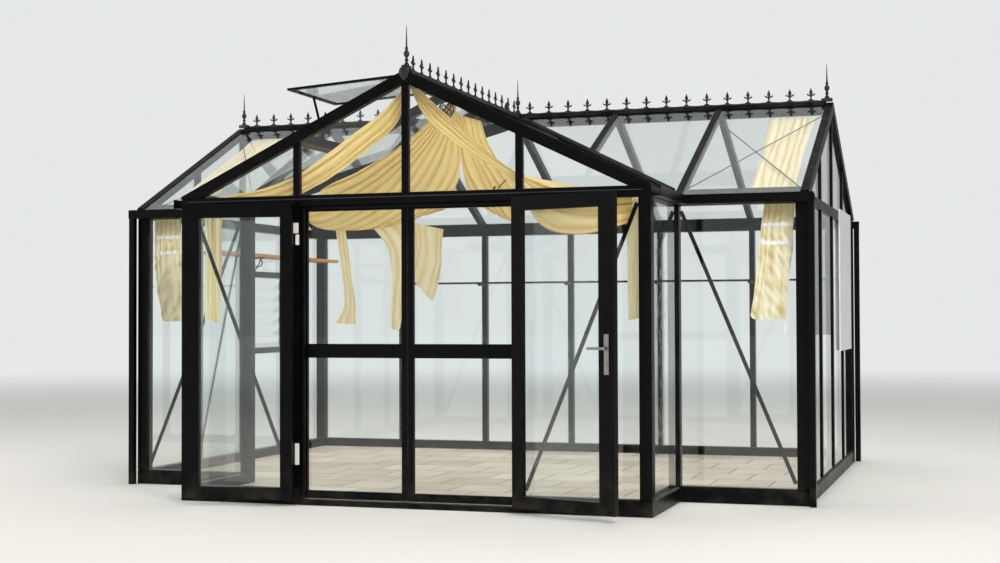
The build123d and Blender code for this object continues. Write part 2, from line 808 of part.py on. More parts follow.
# The open vent's stay stands on the cross bar and meets the vent's bottom rail.
stay_width = 16.0
stay_thick = 5.0
with BuildPart() as vent_stay:
    slope = slope_bay_left
    place = slope.section(-(vent_span[0] + vent_span[1]) / 2)
    rail_middle = vent_reach - vent_rail / 2
    steep = slope.angle - vent_opening
    out = vent_hinge_inward - cap_rise * sin(slope.angle) - rail_middle * cos(steep)
    hinge_z = slope.height(vent_hinge_inward) + cap_rise * cos(slope.angle)
    up = hinge_z - rail_middle * sin(steep) - cap_rise / cos(steep)
    foot = vent_low_inward + mullion / 4
    foot_z = slope.height(foot) + groove_clear
    half = stay_width / 2
    lean = half * tan(slope.angle)
    stay = [(foot - half, foot_z - lean), (foot + half, foot_z + lean)]
    stay += [(out + half, up + half * tan(steep)), (out - half, up - half * tan(steep))]
    plate(place, stay, -stay_thick / 2, stay_thick / 2)
keep(vent_stay.part, "vent_stay")

# A white panel outside the right end, hung on the tie beam
panel_width, panel_height, panel_thick = 850.0, 1050.0, 10.0
panel_top = eave_z + 18.0
panel_shift = 50.0
with BuildPart() as end_panel:
    middle, half = right.edges[3] + panel_shift, panel_width / 2
    outline = rectangle(middle - half, middle + half, panel_top - panel_height, panel_top)
    plate(right.plane, outline, groove_clear, groove_clear + panel_thick)
keep(end_panel.part, "end_panel")

# Shelves: a slim one along the rear wall, and a board on brackets along the left end
rear_shelf_z, rear_shelf_depth = 1480.0, 140.0
slat_count, slat_width, slat_thick = 4, 27.0, 14.0
bearer_wide, bearer_tall = 25.0, 18.0
shelf_z, shelf_depth, shelf_thick = 1690.0, 190.0, 24.0
shelf_front, shelf_back = -300.0, 1800.0
with BuildPart() as rear_shelf:
    inner_face = back_y - mullion_back - groove_clear
    slat_pitch = (rear_shelf_depth - slat_width) / (slat_count - 1)
    long = (-bay_half, body_half - post - bearer_wide)
    for n in range(slat_count):
        slat_back = inner_face - n * slat_pitch
        block(long, (slat_back - slat_width, slat_back), (rear_shelf_z - slat_thick, rear_shelf_z))
    bearer_top = rear_shelf_z - slat_thick - groove_clear
    for line in rear.edges[1:-1]:
        x = body_half - line
        depth = (inner_face - rear_shelf_depth, inner_face)
        block((x - bearer_wide / 2, x + bearer_wide / 2), depth, (bearer_top - bearer_tall, bearer_top))
keep(rear_shelf.part, "rear_shelf")

shelf_wall = -body_half + mullion_back + groove_clear
with BuildPart() as end_shelf:
    heights = (shelf_z - shelf_thick, shelf_z)
    block((shelf_wall, shelf_wall + shelf_depth), (shelf_front, shelf_back), heights)
keep(end_shelf.part, "end_shelf")

bracket_thick = 6.0
bracket_drop = 170.0
bracket_bar = 12.0
bracket_reach = 0.85 * shelf_depth
scroll_bar = 8.0
bracket_top = shelf_z - shelf_thick - groove_clear
bracket_ys = [back_y - edge for edge in left.edges[1:3]]
with BuildPart() as shelf_brackets:
    for y in bracket_ys:
        upright = Plane(origin=(shelf_wall, y - bracket_thick / 2, 0), x_dir=(1, 0, 0), z_dir=(0, -1, 0))
        low = bracket_top - bracket_drop
        reach = bracket_reach
        with BuildSketch(upright) as bracket:
            with BuildLine():
                Polyline(
                    (0, bracket_top),
                    (reach, bracket_top),
                    (reach, bracket_top - bracket_bar),
                    (bracket_bar, bracket_top - bracket_bar),
                    (bracket_bar, low),
                    (0, low),
                    close=True,
                )
            make_face()
            with BuildLine() as scroll:
                start = (bracket_bar / 2, low + scroll_bar)
                end = (reach * 0.8, bracket_top - bracket_bar)
                middle = (reach * 0.52, low + bracket_drop * 0.42)
                ThreePointArc(start, middle, end)
                curl = (reach * 0.52, bracket_top - bracket_drop * 0.4)
                ThreePointArc(end, (reach * 0.86, bracket_top - bracket_drop * 0.33), curl)
            trace(line_width=scroll_bar)
        extrude(bracket.sketch, amount=bracket_thick)
keep(shelf_brackets.part, "shelf_brackets")

# Ridge cresting in lengths: a strip with hollowed bays that rise to a fleur on each cusp
crest_thick = 8.0
crest_lengths = 3
crest_fleurs = 5
crest_strip = 10.0
crest_cusp = 26.0
crest_stem = 4.5
fleur_tall = 104.0
fleur_half = 32.0
finial_half = 20.0
finial_long = 76.0

# Half of a fleur from the foot of its stem up, in short straight runs: a collar, a leaf that
# curls out, and a pointed bud
collar = 5.0
fleur = [
    (crest_stem, crest_cusp),
    (crest_stem, 33),
    (crest_stem + collar, 38),
    (crest_stem + 1, 43),
    (fleur_half * 0.85, 50),
    (fleur_half, 63),
    (crest_stem + 2, 53),
    (fleur_half * 0.4, 70),
    (0, fleur_tall),
]
crest_rise = 3.0


def crest_outline(pitch):
    """The outline of one length of cresting, from its left end."""
    rising = [(pitch / 2, crest_strip), (pitch / 7, crest_strip + crest_rise), *fleur]
    points = [(0, 0)]
    for n in range(crest_fleurs):
        x = pitch * (n + 0.5)
        points += [(x - across, up) for across, up in rising[bool(n) :]]
        points += [(x + across, up) for across, up in rising[-2::-1]]
    return points + [(pitch * crest_fleurs, 0)]


def cresting_row(start, direction, run):
    """Lengths of cresting from one finial to the next."""
    side = Vector(*direction, 0)
    long = run / crest_lengths
    pitch = (long - groove_clear) / crest_fleurs
    for n in range(crest_lengths):
        origin = Vector(*start, ridge_top) + side * (long * n)
        upright = Plane(origin=origin, x_dir=side, z_dir=side.cross(Vector(0, 0, 1)))
        plate(upright, crest_outline(pitch), -crest_thick / 2, crest_thick / 2)


with BuildPart() as cresting:
    run = body_half - finial_long - finial_half
    cresting_row((finial_half, ridge_y), (1, 0), run)
    cresting_row((-finial_half, ridge_y), (-1, 0), run)
    cresting_row((0, front_y + finial_long), (0, 1), bay_depth + body_run - finial_long - finial_half)
keep(cresting.part, "cresting")

# Finials: a ten-sided spire with a collar, a ball and a ring on a square foot, over both ends of
# the main ridge, the crossing and the gable. Its profile is of radius and height over the foot.
foot_tall = 22.0
spire_sides = 10
spire_profile = [
    (18, 0),
    (18, 8),
    (7, 24),
    (13, 36),
    (7, 50),
    (18, 66),
    (19, 80),
    (8, 98),
    (11, 111),
    (6, 120),
    (1.5, 254),
]
with BuildPart() as spire:
    for (low_radius, low), (high_radius, high) in zip(spire_profile, spire_profile[1:]):
        for radius, z in ((low_radius, low), (high_radius, high)):
            with BuildSketch(Plane.XY.offset(z)):
                RegularPolygon(radius, spire_sides)
        loft(ruled=True)
with BuildPart() as finials:
    seat = ridge_top, ridge_top + foot_tall
    ends = (body_half - finial_long, body_half)
    across = (-finial_half, finial_half)
    ridge_across = (ridge_y - finial_half, ridge_y + finial_half)
    block(ends, ridge_across, seat)
    block((-ends[1], -ends[0]), ridge_across, seat)
    block(across, ridge_across, seat)
    block(across, (front_y, front_y + finial_long), seat)
    middle = body_half - finial_long / 2
    tops = [(-middle, ridge_y), (middle, ridge_y), (0, ridge_y), (0, front_y + finial_long / 2)]
    with Locations([(x, y, seat[1]) for x, y in tops]):
        add(spire.part)
keep(finials.part, "finials")


# Doors. The outer pair swings outwards on knuckles that stand before the leaves' faces.
class Leaf:
    """A leaf on its hinge line: X runs to its free edge and Y up. Depth runs inwards when shut."""

    def __init__(self, side, hinge, opening=0.0):
        self.side = side
        self.direction = Vector(-side * cos(opening), -sin(opening), 0)
        self.hinge = Vector(*hinge, 0)
        self.plane = Plane(
            origin=self.hinge, x_dir=self.direction, z_dir=self.direction.cross(Vector(0, 0, 1))
        )

    def plate(self, outline, near, far, inset=0.0, mode=Mode.ADD):
        low, high = sorted((self.side * near, self.side * far))
        plate(self.plane, outline, low, high, inset, mode)

    def level(self, z):
        """A level plane with its origin on the hinge line and X to the free edge."""
        return Plane(origin=self.hinge + Vector(0, 0, z), x_dir=self.direction, z_dir=(0, 0, 1))

    def bored(self, outline, lights, near, far):
        """The frame round its lights, with the glass groove cut in their edges."""
        self.plate(outline, near, far)
        middle = (near + far) / 2
        for light in lights:
            self.plate(light, near, far, mode=Mode.SUBTRACT)
            groove = middle - glass / 2 - groove_clear, middle + glass / 2 + groove_clear
            self.plate(light, *groove, inset=-groove_bite - groove_clear, mode=Mode.SUBTRACT)

    def glazed(self, lights, near, far):
        middle = (near + far) / 2
        for light in lights:
            self.plate(light, middle - glass / 2, middle + glass / 2, inset=-groove_bite)


leaf_low, leaf_high = 38.0, 1897.0
leaf_thick = 40.0
leaf_off_wall = 5.5
leaf_gap = 7.0
leaf_edge = 5.0
hinge_out = 48.0
hinge_beyond = 11.0
hinge_stile, free_stile = 75.0, 105.0
top_rail, bottom_rail = 85.0, 75.0
hinge_pin = 6.0
knuckle = 10.0
knuckle_tall = 8.0
pin_root = 1.0
pin_beyond = 2.0
pivot_plate = 6.0
pivot_edge = 4.0
pivot_gap = 6.0
hinge_x = door_half + hinge_beyond
hinge_y = front_y - hinge_out
right_opening, left_opening = radians(162), radians(173)
leaf_near = hinge_out - leaf_off_wall - leaf_thick
leaf_far = leaf_near + leaf_thick
leaf_free = hinge_x - leaf_gap / 2
leaf_outline = rectangle(leaf_edge, leaf_free, leaf_low, leaf_high)
leaf_lights = [
    rectangle(
        leaf_edge + hinge_stile, leaf_free - free_stile, leaf_low + bottom_rail, leaf_high - top_rail
    )
]


def outer_leaf(leaf, name):
    with BuildPart() as frame:
        leaf.bored(leaf_outline, leaf_lights, leaf_near, leaf_far)
        pin_reach = pivot_gap + pivot_plate + pin_beyond
        for low, pin_low, pin_high in (
            (leaf_high - knuckle_tall, leaf_high - pin_root, leaf_high + pin_reach),
            (leaf_low, leaf_low - pin_reach, leaf_low + pin_root),
        ):
            with BuildSketch(leaf.level(low)) as arm:
                Circle(knuckle)
                with Locations((leaf_edge, -leaf.side * (leaf_near - knuckle) / 2)):
                    Rectangle(2 * knuckle, leaf_near + knuckle)
            extrude(arm.sketch, amount=knuckle_tall)
            with BuildSketch(leaf.level(pin_low)) as pin:
                Circle(hinge_pin)
            extrude(pin.sketch, amount=pin_high - pin_low)
    keep(frame.part, f"{name}_frame")
    with BuildPart() as light:
        leaf.glazed(leaf_lights, leaf_near, leaf_far)
    keep(light.part, f"{name}_glass")


right_leaf = Leaf(1, (hinge_x, hinge_y), right_opening)
left_leaf = Leaf(-1, (-hinge_x, hinge_y), left_opening)
outer_leaf(right_leaf, "right_door")
outer_leaf(left_leaf, "left_door")

# Plates on the beam and the plinth that take the outer doors' pins
with BuildPart() as door_pivots:
    for side in (-1, 1):
        for z in (leaf_high + pivot_gap, leaf_low - pivot_gap - pivot_plate):
            x = sorted((side * (hinge_x - knuckle), side * (hinge_x + 2 * knuckle)))
            block(x, (hinge_y - knuckle - pivot_edge, front_y), (z, z + pivot_plate))
            with Locations((side * hinge_x, hinge_y, z + pivot_plate)):
                Hole(hinge_pin + pin_clear, depth=pivot_plate)
keep(door_pivots.part, "door_pivots")

# A lever handle on a long plate, on both faces of the right door
handle_inset = 50.0
handle_low, handle_high = 845.0, 1077.0
handle_plate_wide, handle_plate_thick = 32.0, 5.0
lever_z = 995.0
lever_long, lever_tall, lever_thick = 115.0, 16.0, 10.0
lever_stand = 24.0
lock_z = 905.0
lock_wide, lock_tall, lock_thick = 14.0, 28.0, 5.0
with BuildPart() as door_handle:
    middle = leaf_free - handle_inset
    half, neck_half = handle_plate_wide / 2, lever_tall / 2
    long_plate = rectangle(middle - half, middle + half, handle_low, handle_high)
    neck = rectangle(middle - neck_half, middle + neck_half, lever_z - neck_half, lever_z + neck_half)
    lever = rectangle(middle - lever_long, middle + neck_half, lever_z - neck_half, lever_z + neck_half)
    lock_high = lock_z + lock_tall / 2
    lock = rectangle(middle - lock_wide / 2, middle + lock_wide / 2, lock_high - lock_tall, lock_high)
    for face, out in ((leaf_near, -1), (leaf_far, 1)):
        right_leaf.plate(long_plate, face, face + out * handle_plate_thick)
        right_leaf.plate(neck, face, face + out * (lever_stand + lever_thick))
        right_leaf.plate(lever, face + out * lever_stand, face + out * (lever_stand + lever_thick))
        right_leaf.plate(lock, face, face + out * (handle_plate_thick + lock_thick))
keep(door_handle.part, "door_handle")

# The inner pair swings inwards and stands shut.
inner_low, inner_high = 38.0, 1878.0
inner_half = (inner_back - inner_front) / 2
meeting_gap = 6.0
inner_free = pivot_x - meeting_gap / 2
inner_outline = rectangle(-inner_pivot, inner_free, inner_low, inner_high)
inner_stile, meeting_stile = 24.0, 37.0
midrail_low, midrail_high = 924.0, 1012.0
inner_bottom, inner_top = 50.0, 28.0
light_xs = (inner_stile - inner_pivot, inner_free - meeting_stile)
inner_lights = [
    rectangle(*light_xs, inner_low + inner_bottom, midrail_low),
    rectangle(*light_xs, midrail_high, inner_high - inner_top),
]
for side, name in ((1, "right_inner"), (-1, "left_inner")):
    leaf = Leaf(side, (side * pivot_x, pivot_y))
    with BuildPart() as frame:
        leaf.bored(inner_outline, inner_lights, -inner_half, inner_half)
        reach = inner_low - threshold_top + pin_depth - pin_beyond
        for z in (inner_low - reach, inner_high - pin_root):
            with BuildSketch(leaf.level(z)) as pin:
                Circle(inner_pin)
            extrude(pin.sketch, amount=reach + pin_root)
    keep(frame.part, f"{name}_door_frame")
    with BuildPart() as light:
        leaf.glazed(inner_lights, -inner_half, inner_half)
    keep(light.part, f"{name}_door_glass")

# Cloth: swags tied up to the ridge, and curtains that hang from the bars. Their outlines are points
# of X and Z, and their hems hang level.
cloth = 28.0
cloth_gap = 0.3
cloth_behind_post = 10.0
hem_z = 1150.0
strip_gap = 6.0
strip_reach = 260.0
strip_top = eave_low + 10.0
drape_inner_x = 1950.0
drape_thick = 18.0
drape_below_bars = 10.0
drape_side_gap = 2.0
front_cloth = front_y + post + cloth_behind_post
inner_cloth = wing_y + mullion / 2 + cloth_gap
tie_z = apex_z - ridge_drop - cloth_gap


def hang(points, y, thick=cloth):
    """A piece of cloth: an outline of X and Z, with its front at a place along Y."""
    plate(Plane(origin=(0, y, 0), x_dir=(1, 0, 0), z_dir=(0, -1, 0)), points, -thick, 0)


fan_foot = [(-200, 1800), (-360, 1885), (-560, 1800), (-764, 1757), (-900, 1800), (-1085, 1895)]
with BuildPart() as swags:
    hang(
        [(-60, tie_z), (-2, tie_z), (-4, 2520), (-326, 2223), (-756, 1985), (-1025, 1985), (-340, 2305)],
        front_cloth,
    )
    hang(
        [(2, tie_z), (50, tie_z), (335, 2262), (800, 2025), (1416, 1905), (1416, 1840), (1001, 1690)]
        + [(850, 1760), (717, 1952), (304, 2195), (4, 2520)],
        front_cloth,
    )
    hang(
        [(-20, tie_z), (30, tie_z), (207, 2489), (297, 2233), (452, 2040), (440, 1965), (88, 1990)]
        + [(80, 2120), (-60, 1760), *fan_foot, (-1085, 1935), (-653, 2060)],
        inner_cloth,
    )
keep(swags.part, "swags")

# Two tails of the inner cloth hang from the fan's foot.
left_tail = [(-850, 1784), (-785, 1763.6), (-745, 1605), (-700, 1280), (-700, 1130), (-800, 1130)]
right_tail = [(-60, 1760), *fan_foot[:3], (-431, 1600), (-445, 1110), (-371, 1110), (-340, 1380)]
right_tail += [(-285, 1430), (-135, 1280), (-75, 1500)]
with BuildPart() as curtains:
    for tail in (left_tail, right_tail):
        hang([(x, z - cloth_gap) for x, z in tail], inner_cloth)
    for side in (-1, 1):
        x = sorted((side * (bay_clear - cloth_gap - cloth), side * (bay_clear - cloth_gap)))
        block(x, (front_cloth + cloth + strip_gap, front_cloth + strip_reach), (hem_z, strip_top))
keep(curtains.part, "curtains")


def wing_drape(side, hanging, name):
    """Cloth under the end bay's slope, and a curtain that hangs below its eave."""
    over = slope_front.upright(bar_drop + drape_below_bars)
    under = slope_front.upright(bar_drop + drape_below_bars + drape_thick)
    with BuildPart() as drape:
        low, high = post + cloth_gap, body_run - ridge_half - cloth_gap
        outer = sorted((side * drape_inner_x, side * (body_half - post - drape_side_gap)))
        upper = [
            (low, slope_front.height(low) - over),
            (high, slope_front.height(high) - over),
            (high, slope_front.height(high) - under),
            (low, slope_front.height(low) - under),
        ]
        plate(slope_front.section(outer[0]), upper, 0, outer[1] - outer[0])
        top = slope_front.height(low) - under - cloth_gap
        hang(rectangle(*sorted((side * hanging[0], side * hanging[1])), hem_z, top), wing_y + low)
    keep(drape.part, name)


wing_drape(-1, (2060, 2285), "left_drape")
wing_drape(1, (2030, 2285), "right_drape")
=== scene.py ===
import json
import math

import bpy
from mathutils import Matrix, Vector, noise


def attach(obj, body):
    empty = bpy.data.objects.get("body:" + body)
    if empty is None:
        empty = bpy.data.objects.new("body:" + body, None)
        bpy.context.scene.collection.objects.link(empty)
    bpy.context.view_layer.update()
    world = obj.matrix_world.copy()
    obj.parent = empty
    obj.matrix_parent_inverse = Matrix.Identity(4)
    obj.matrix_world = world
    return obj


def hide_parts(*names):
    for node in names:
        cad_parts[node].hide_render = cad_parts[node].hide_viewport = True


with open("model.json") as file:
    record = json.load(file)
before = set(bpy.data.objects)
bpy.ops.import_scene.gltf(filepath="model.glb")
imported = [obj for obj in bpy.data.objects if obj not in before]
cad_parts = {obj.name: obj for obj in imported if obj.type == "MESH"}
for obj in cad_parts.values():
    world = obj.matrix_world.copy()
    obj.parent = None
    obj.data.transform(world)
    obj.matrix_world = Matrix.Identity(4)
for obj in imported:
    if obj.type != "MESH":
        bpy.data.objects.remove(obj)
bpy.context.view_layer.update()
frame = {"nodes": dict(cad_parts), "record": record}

# The camera stands at eye height, to the right of the double doors and eleven metres off. Its turn,
# tilt and lens come from the photograph's own straight lines.
eye = Vector((3.497, -10.833, 1.176))
turn, tilt, roll = math.radians(17.97), math.radians(1.33), math.radians(-0.19)
ahead = Vector((-math.sin(turn) * math.cos(tilt), math.cos(turn) * math.cos(tilt), math.sin(tilt)))
level = Vector((math.cos(turn), math.sin(turn), 0))
over = level.cross(ahead)
right_way = math.cos(roll) * level + math.sin(roll) * over
up_way = -math.sin(roll) * level + math.cos(roll) * over
camera = bpy.data.objects.new("camera", bpy.data.cameras.new("camera"))
bpy.context.scene.collection.objects.link(camera)
camera.data.sensor_width = 36
camera.data.lens = 55.5
camera.data.clip_end = 400
camera.matrix_world = Matrix.Translation(eye) @ Matrix((right_way, up_way, -ahead)).transposed().to_4x4()
bpy.context.scene.camera = camera


# A plain studio: a pale floor that fades into a pale surround, one broad lamp in front and to the
# right, a weaker one on the left and a soft one overhead. Metal and glass mirror a dimmer surround.
def linear(code):
    """An sRGB hex colour as the linear one that a shader takes."""
    parts = [int(code[i : i + 2], 16) / 255 for i in (1, 3, 5)]
    return [c / 12.92 if c <= 0.04045 else ((c + 0.055) / 1.055) ** 2.4 for c in parts] + [1.0]


def add(tree, kind, feeds=(), **settings):
    """A node with its settings. Feeds gives sockets by name or number: a value, or another's output."""
    made = tree.nodes.new("ShaderNode" + kind)
    for name, value in settings.items():
        setattr(made, name, value)
    for name, value in dict(feeds).items():
        if isinstance(value, bpy.types.NodeSocket):
            tree.links.new(value, made.inputs[name])
        else:
            made.inputs[name].default_value = value
    return made


def new_finish(name):
    """A new material, its node tree and its main shader."""
    finish = bpy.data.materials.new(name)
    finish.use_nodes = True
    return finish, finish.node_tree, finish.node_tree.nodes["Principled BSDF"]


surround = linear("#E6E8EA")
lit_strength, shown_strength, mirrored_strength = 0.6, 1.0, 0.4
world = bpy.data.worlds.new("pale_surround")
world.use_nodes = True
bpy.context.scene.world = world
tree = world.node_tree
tree.nodes.clear()
seen = add(tree, "LightPath").outputs
through = seen["Is Transmission Ray"]
either = add(tree, "Math", {0: seen["Is Camera Ray"], 1: through}, operation="MAXIMUM")
mirror = add(tree, "Math", {0: seen["Is Glossy Ray"], 1: through}, operation="SUBTRACT", use_clamp=True)
lit = add(tree, "Background", {"Color": linear("#FFFFFF"), "Strength": lit_strength})
shown = add(tree, "Background", {"Color": surround, "Strength": shown_strength})
mirrored = add(tree, "Background", {"Color": surround, "Strength": mirrored_strength})
mixed = add(tree, "MixShader", {0: either.outputs[0], 1: lit.outputs[0], 2: shown.outputs[0]})
mixed = add(tree, "MixShader", {0: mirror.outputs[0], 1: mixed.outputs[0], 2: mirrored.outputs[0]})
add(tree, "OutputWorld", {"Surface": mixed.outputs[0]})

floor_radius, floor_drop = 90, 0.001
fade_from, fade_to = 7.0, 26.0
bpy.ops.object.select_all(action="DESELECT")
bpy.ops.mesh.primitive_circle_add(vertices=64, radius=floor_radius, fill_type="NGON", location=(0, 0, 0))
floor = bpy.context.object
floor.name = "studio_floor"
for v in floor.data.vertices:
    v.co.z = -floor_drop
floor_paint, tree, shader = new_finish("matt_studio_floor")
shader.inputs["Base Color"].default_value = linear("#D8D8D6")
shader.inputs["Roughness"].default_value = 0.9
place = add(tree, "TexCoord").outputs["Object"]
away = add(tree, "VectorMath", {0: place}, operation="LENGTH").outputs["Value"]
fade = add(tree, "MapRange", {0: away, 1: fade_from, 2: fade_to}, interpolation_type="SMOOTHSTEP")
glow = add(tree, "Emission", {"Color": surround, "Strength": shown_strength})
mixed = add(tree, "MixShader", {0: fade.outputs[0], 1: shader.outputs[0], 2: glow.outputs[0]})
tree.links.new(mixed.outputs[0], tree.nodes["Material Output"].inputs["Surface"])
floor.data.materials.append(floor_paint)

lamps = [
    ("front_lamp", (6.5, -9.5, 8.0), (0, -0.5, 1.2), 5.0, 900),
    ("left_lamp", (-9.0, -5.0, 5.0), (0, 0, 1.2), 5.0, 320),
    ("top_lamp", (0.5, 1.5, 9.0), (0, 0, 1.0), 6.0, 380),
]
for name, spot, target, size, watts in lamps:
    lamp = bpy.data.objects.new(name, bpy.data.lights.new(name, "AREA"))
    bpy.context.scene.collection.objects.link(lamp)
    lamp.data.shape = "DISK"
    lamp.data.size = size
    lamp.data.energy = watts
    lamp.data.color = linear("#FFF9F1")[:3]
    # The overhead lamp is left out of glossy rays, by which metal and glass mirror things.
    lamp.visible_glossy = name != "top_lamp"
    lamp.location = spot
    lamp.rotation_euler = (Vector(target) - Vector(spot)).to_track_quat("-Z", "Y").to_euler()
bpy.context.scene.view_settings.view_transform = "Standard"


# The frame: extruded aluminium bars, rafters, gutters and doors, sawn to length, powder coated black
# and bolted together. The coat is satin with a fine orange peel, dustier near the ground.
def dress(names, finish):
    """Give the parts with these names their finish."""
    for name in names:
        for slot in frame["nodes"][name].material_slots:
            slot.material = finish


powder, tree, shader = new_finish("powder_coated_aluminium_black")
place = add(tree, "TexCoord").outputs["Object"]
# Orange peel of about 1.5 mm and drifts of dust of about 120 mm.
peel = add(tree, "TexNoise", {"Vector": place, "Scale": 1 / 0.0015, "Detail": 2.0})
drift = add(tree, "TexNoise", {"Vector": place, "Scale": 1 / 0.12, "Detail": 5.0, "Roughness": 0.65})
height = add(tree, "SeparateXYZ", {0: place})
low = add(tree, "MapRange", {0: height.outputs["Z"], 1: 0.0, 2: 0.3, 3: 0.4, 4: 0.03})
facing = add(tree, "NewGeometry")
facing = add(tree, "SeparateXYZ", {0: facing.outputs["Normal"]})
ledge = add(tree, "MapRange", {0: facing.outputs["Z"], 1: 0.35, 2: 1.0, 3: 0.0, 4: 0.45})
settled = add(tree, "Math", {0: low.outputs[0], 1: ledge.outputs[0]}, operation="MAXIMUM")
grime = add(tree, "MapRange", {0: drift.outputs[0], 1: 0.42, 2: 0.72})
dust = add(tree, "Math", {0: grime.outputs[0], 1: settled.outputs[0]}, operation="MULTIPLY")
shade = add(tree, "Mix", {0: dust.outputs[0], 6: linear("#050507"), 7: linear("#48433B")}, data_type="RGBA")
shade.name = "coat_dust_and_painted_highlight"
tree.links.new(shade.outputs[2], shader.inputs["Base Color"])
rough = add(tree, "MapRange", {0: dust.outputs[0], 3: 0.33, 4: 0.7})
tree.links.new(rough.outputs[0], shader.inputs["Roughness"])
shader.inputs["Specular IOR Level"].default_value = 0.12
bumped = add(tree, "Bump", {"Height": peel.outputs[0], "Strength": 0.12, "Distance": 0.0003})
tree.links.new(bumped.outputs[0], shader.inputs["Normal"])
slots = {p["node"]: p["material_slot"] for p in frame["record"]["subparts"]}
dress([name for name in frame["nodes"] if slots[name] == "frame_paint"], powder)

# The glazing: 4 mm toughened float glass in the walls, roof, doors and louvres. It is clear with a
# faint green-grey tint, polished by the tin bath, with a film of dust and rain marks on it.
glazing, tree, shader = new_finish("toughened_float_glass")
shader.inputs["Base Color"].default_value = linear("#FAFDFC")
shader.inputs["Transmission Weight"].default_value = 1.0
shader.inputs["IOR"].default_value = 1.5
place = add(tree, "TexCoord").outputs["Object"]
# Smears of about 60 mm, and dried drops of about 4 mm that are 18 mm apart.
smear = add(tree, "TexNoise", {"Vector": place, "Scale": 1 / 0.06, "Detail": 6.0, "Roughness": 0.7})
drops = add(tree, "TexVoronoi", {"Vector": place, "Scale": 1 / 0.018})
dots = add(tree, "MapRange", {0: drops.outputs["Distance"], 1: 0.1, 2: 0.16, 3: 0.05, 4: 0.0})
film = add(tree, "MapRange", {0: smear.outputs[0], 1: 0.48, 2: 0.8, 3: 0.0, 4: 0.07})
marks = add(tree, "Math", {0: dots.outputs[0], 1: film.outputs[0]}, operation="ADD")
tree.links.new(marks.outputs[0], shader.inputs["Roughness"])
# Its shadow is clear, so that the lamps light what stands behind it.
clear = add(tree, "BsdfTransparent", {"Color": linear("#F2F6F5")})
shadow = add(tree, "LightPath").outputs["Is Shadow Ray"]
mixed = add(tree, "MixShader", {0: shadow, 1: shader.outputs[0], 2: clear.outputs[0]})
tree.links.new(mixed.outputs[0], tree.nodes["Material Output"].inputs["Surface"])
dress([name for name in frame["nodes"] if slots[name] == "glass"], glazing)

# The floor inside: pressed concrete slabs of 400 by 400 mm, pinkish beige, laid dry on sand with open
# joints of 5 mm. Each slab differs a little in shade, and its face is lightly pitted.
slab_side, joint_width = 0.4, 0.005
paving, tree, shader = new_finish("pressed_concrete_paving")
place = add(tree, "TexCoord").outputs["Object"]
slabs = add(
    tree,
    "TexBrick",
    {
        "Vector": place,
        "Color1": linear("#C3B9AE"),
        "Color2": linear("#AEA398"),
        "Mortar": linear("#5E554B"),
        "Scale": 1.0,
        "Mortar Size": joint_width,
        "Mortar Smooth": 0.3,
        "Brick Width": slab_side,
        "Row Height": slab_side,
    },
    offset=0.5,
)
grit = add(tree, "TexNoise", {"Vector": place, "Scale": 1 / 0.004, "Detail": 4.0, "Roughness": 0.7})
stain = add(tree, "TexNoise", {"Vector": place, "Scale": 1 / 0.5, "Detail": 4.0})
tone = add(tree, "MapRange", {0: stain.outputs[0], 1: 0.3, 2: 0.7, 3: 0.86, 4: 1.08})
speck = add(tree, "MapRange", {0: grit.outputs[0], 1: 0.3, 2: 0.7, 3: 0.9, 4: 1.06})
tone = add(tree, "Math", {0: tone.outputs[0], 1: speck.outputs[0]}, operation="MULTIPLY")
shade = add(tree, "VectorMath", {0: slabs.outputs["Color"], 3: tone.outputs[0]}, operation="SCALE")
tree.links.new(shade.outputs[0], shader.inputs["Base Color"])
shader.inputs["Roughness"].default_value = 0.85
depth = add(tree, "Math", {0: slabs.outputs["Fac"], 1: -1.0, 2: 1.0}, operation="MULTIPLY_ADD")
joints = add(tree, "Bump", {"Height": depth.outputs[0], "Strength": 0.9, "Distance": 0.004})
pits = {"Height": grit.outputs[0], "Strength": 0.5, "Distance": 0.0008, "Normal": joints.outputs[0]}
tree.links.new(add(tree, "Bump", pits).outputs[0], shader.inputs["Normal"])
dress(["paved_floor"], paving)

# The end shelf: one planed softwood board, oiled to an orange brown. The grain runs along the board,
# with wavering rings about 13 mm apart on its face.
plank, tree, shader = new_finish("oiled_pine")
place = add(tree, "TexCoord").outputs["Object"]
along = add(tree, "Mapping", {"Vector": place, "Scale": (1.0, 0.06, 1.0)}).outputs[0]
wander = add(tree, "TexNoise", {"Vector": along, "Scale": 1 / 0.05, "Detail": 3.0})
# At scale 1 a wave texture repeats every 314 mm.
rings = {"Vector": along, "Scale": 25, "Distortion": 6.0, "Detail": 3.0}
rings = add(tree, "TexWave", rings, bands_direction="X")
pores = add(tree, "TexNoise", {"Vector": along, "Scale": 1 / 0.002, "Detail": 2.0})
grain = add(tree, "Math", {0: rings.outputs["Fac"], 1: wander.outputs[0]}, operation="MULTIPLY")
shade = add(tree, "Mix", {0: grain.outputs[0], 6: linear("#D0904A"), 7: linear("#9A5D28")}, data_type="RGBA")
tree.links.new(shade.outputs[2], shader.inputs["Base Color"])
shader.inputs["Roughness"].default_value = 0.5
bumped = add(tree, "Bump", {"Height": pores.outputs[0], "Strength": 0.25, "Distance": 0.0004})
tree.links.new(bumped.outputs[0], shader.inputs["Normal"])
dress(["end_shelf"], plank)

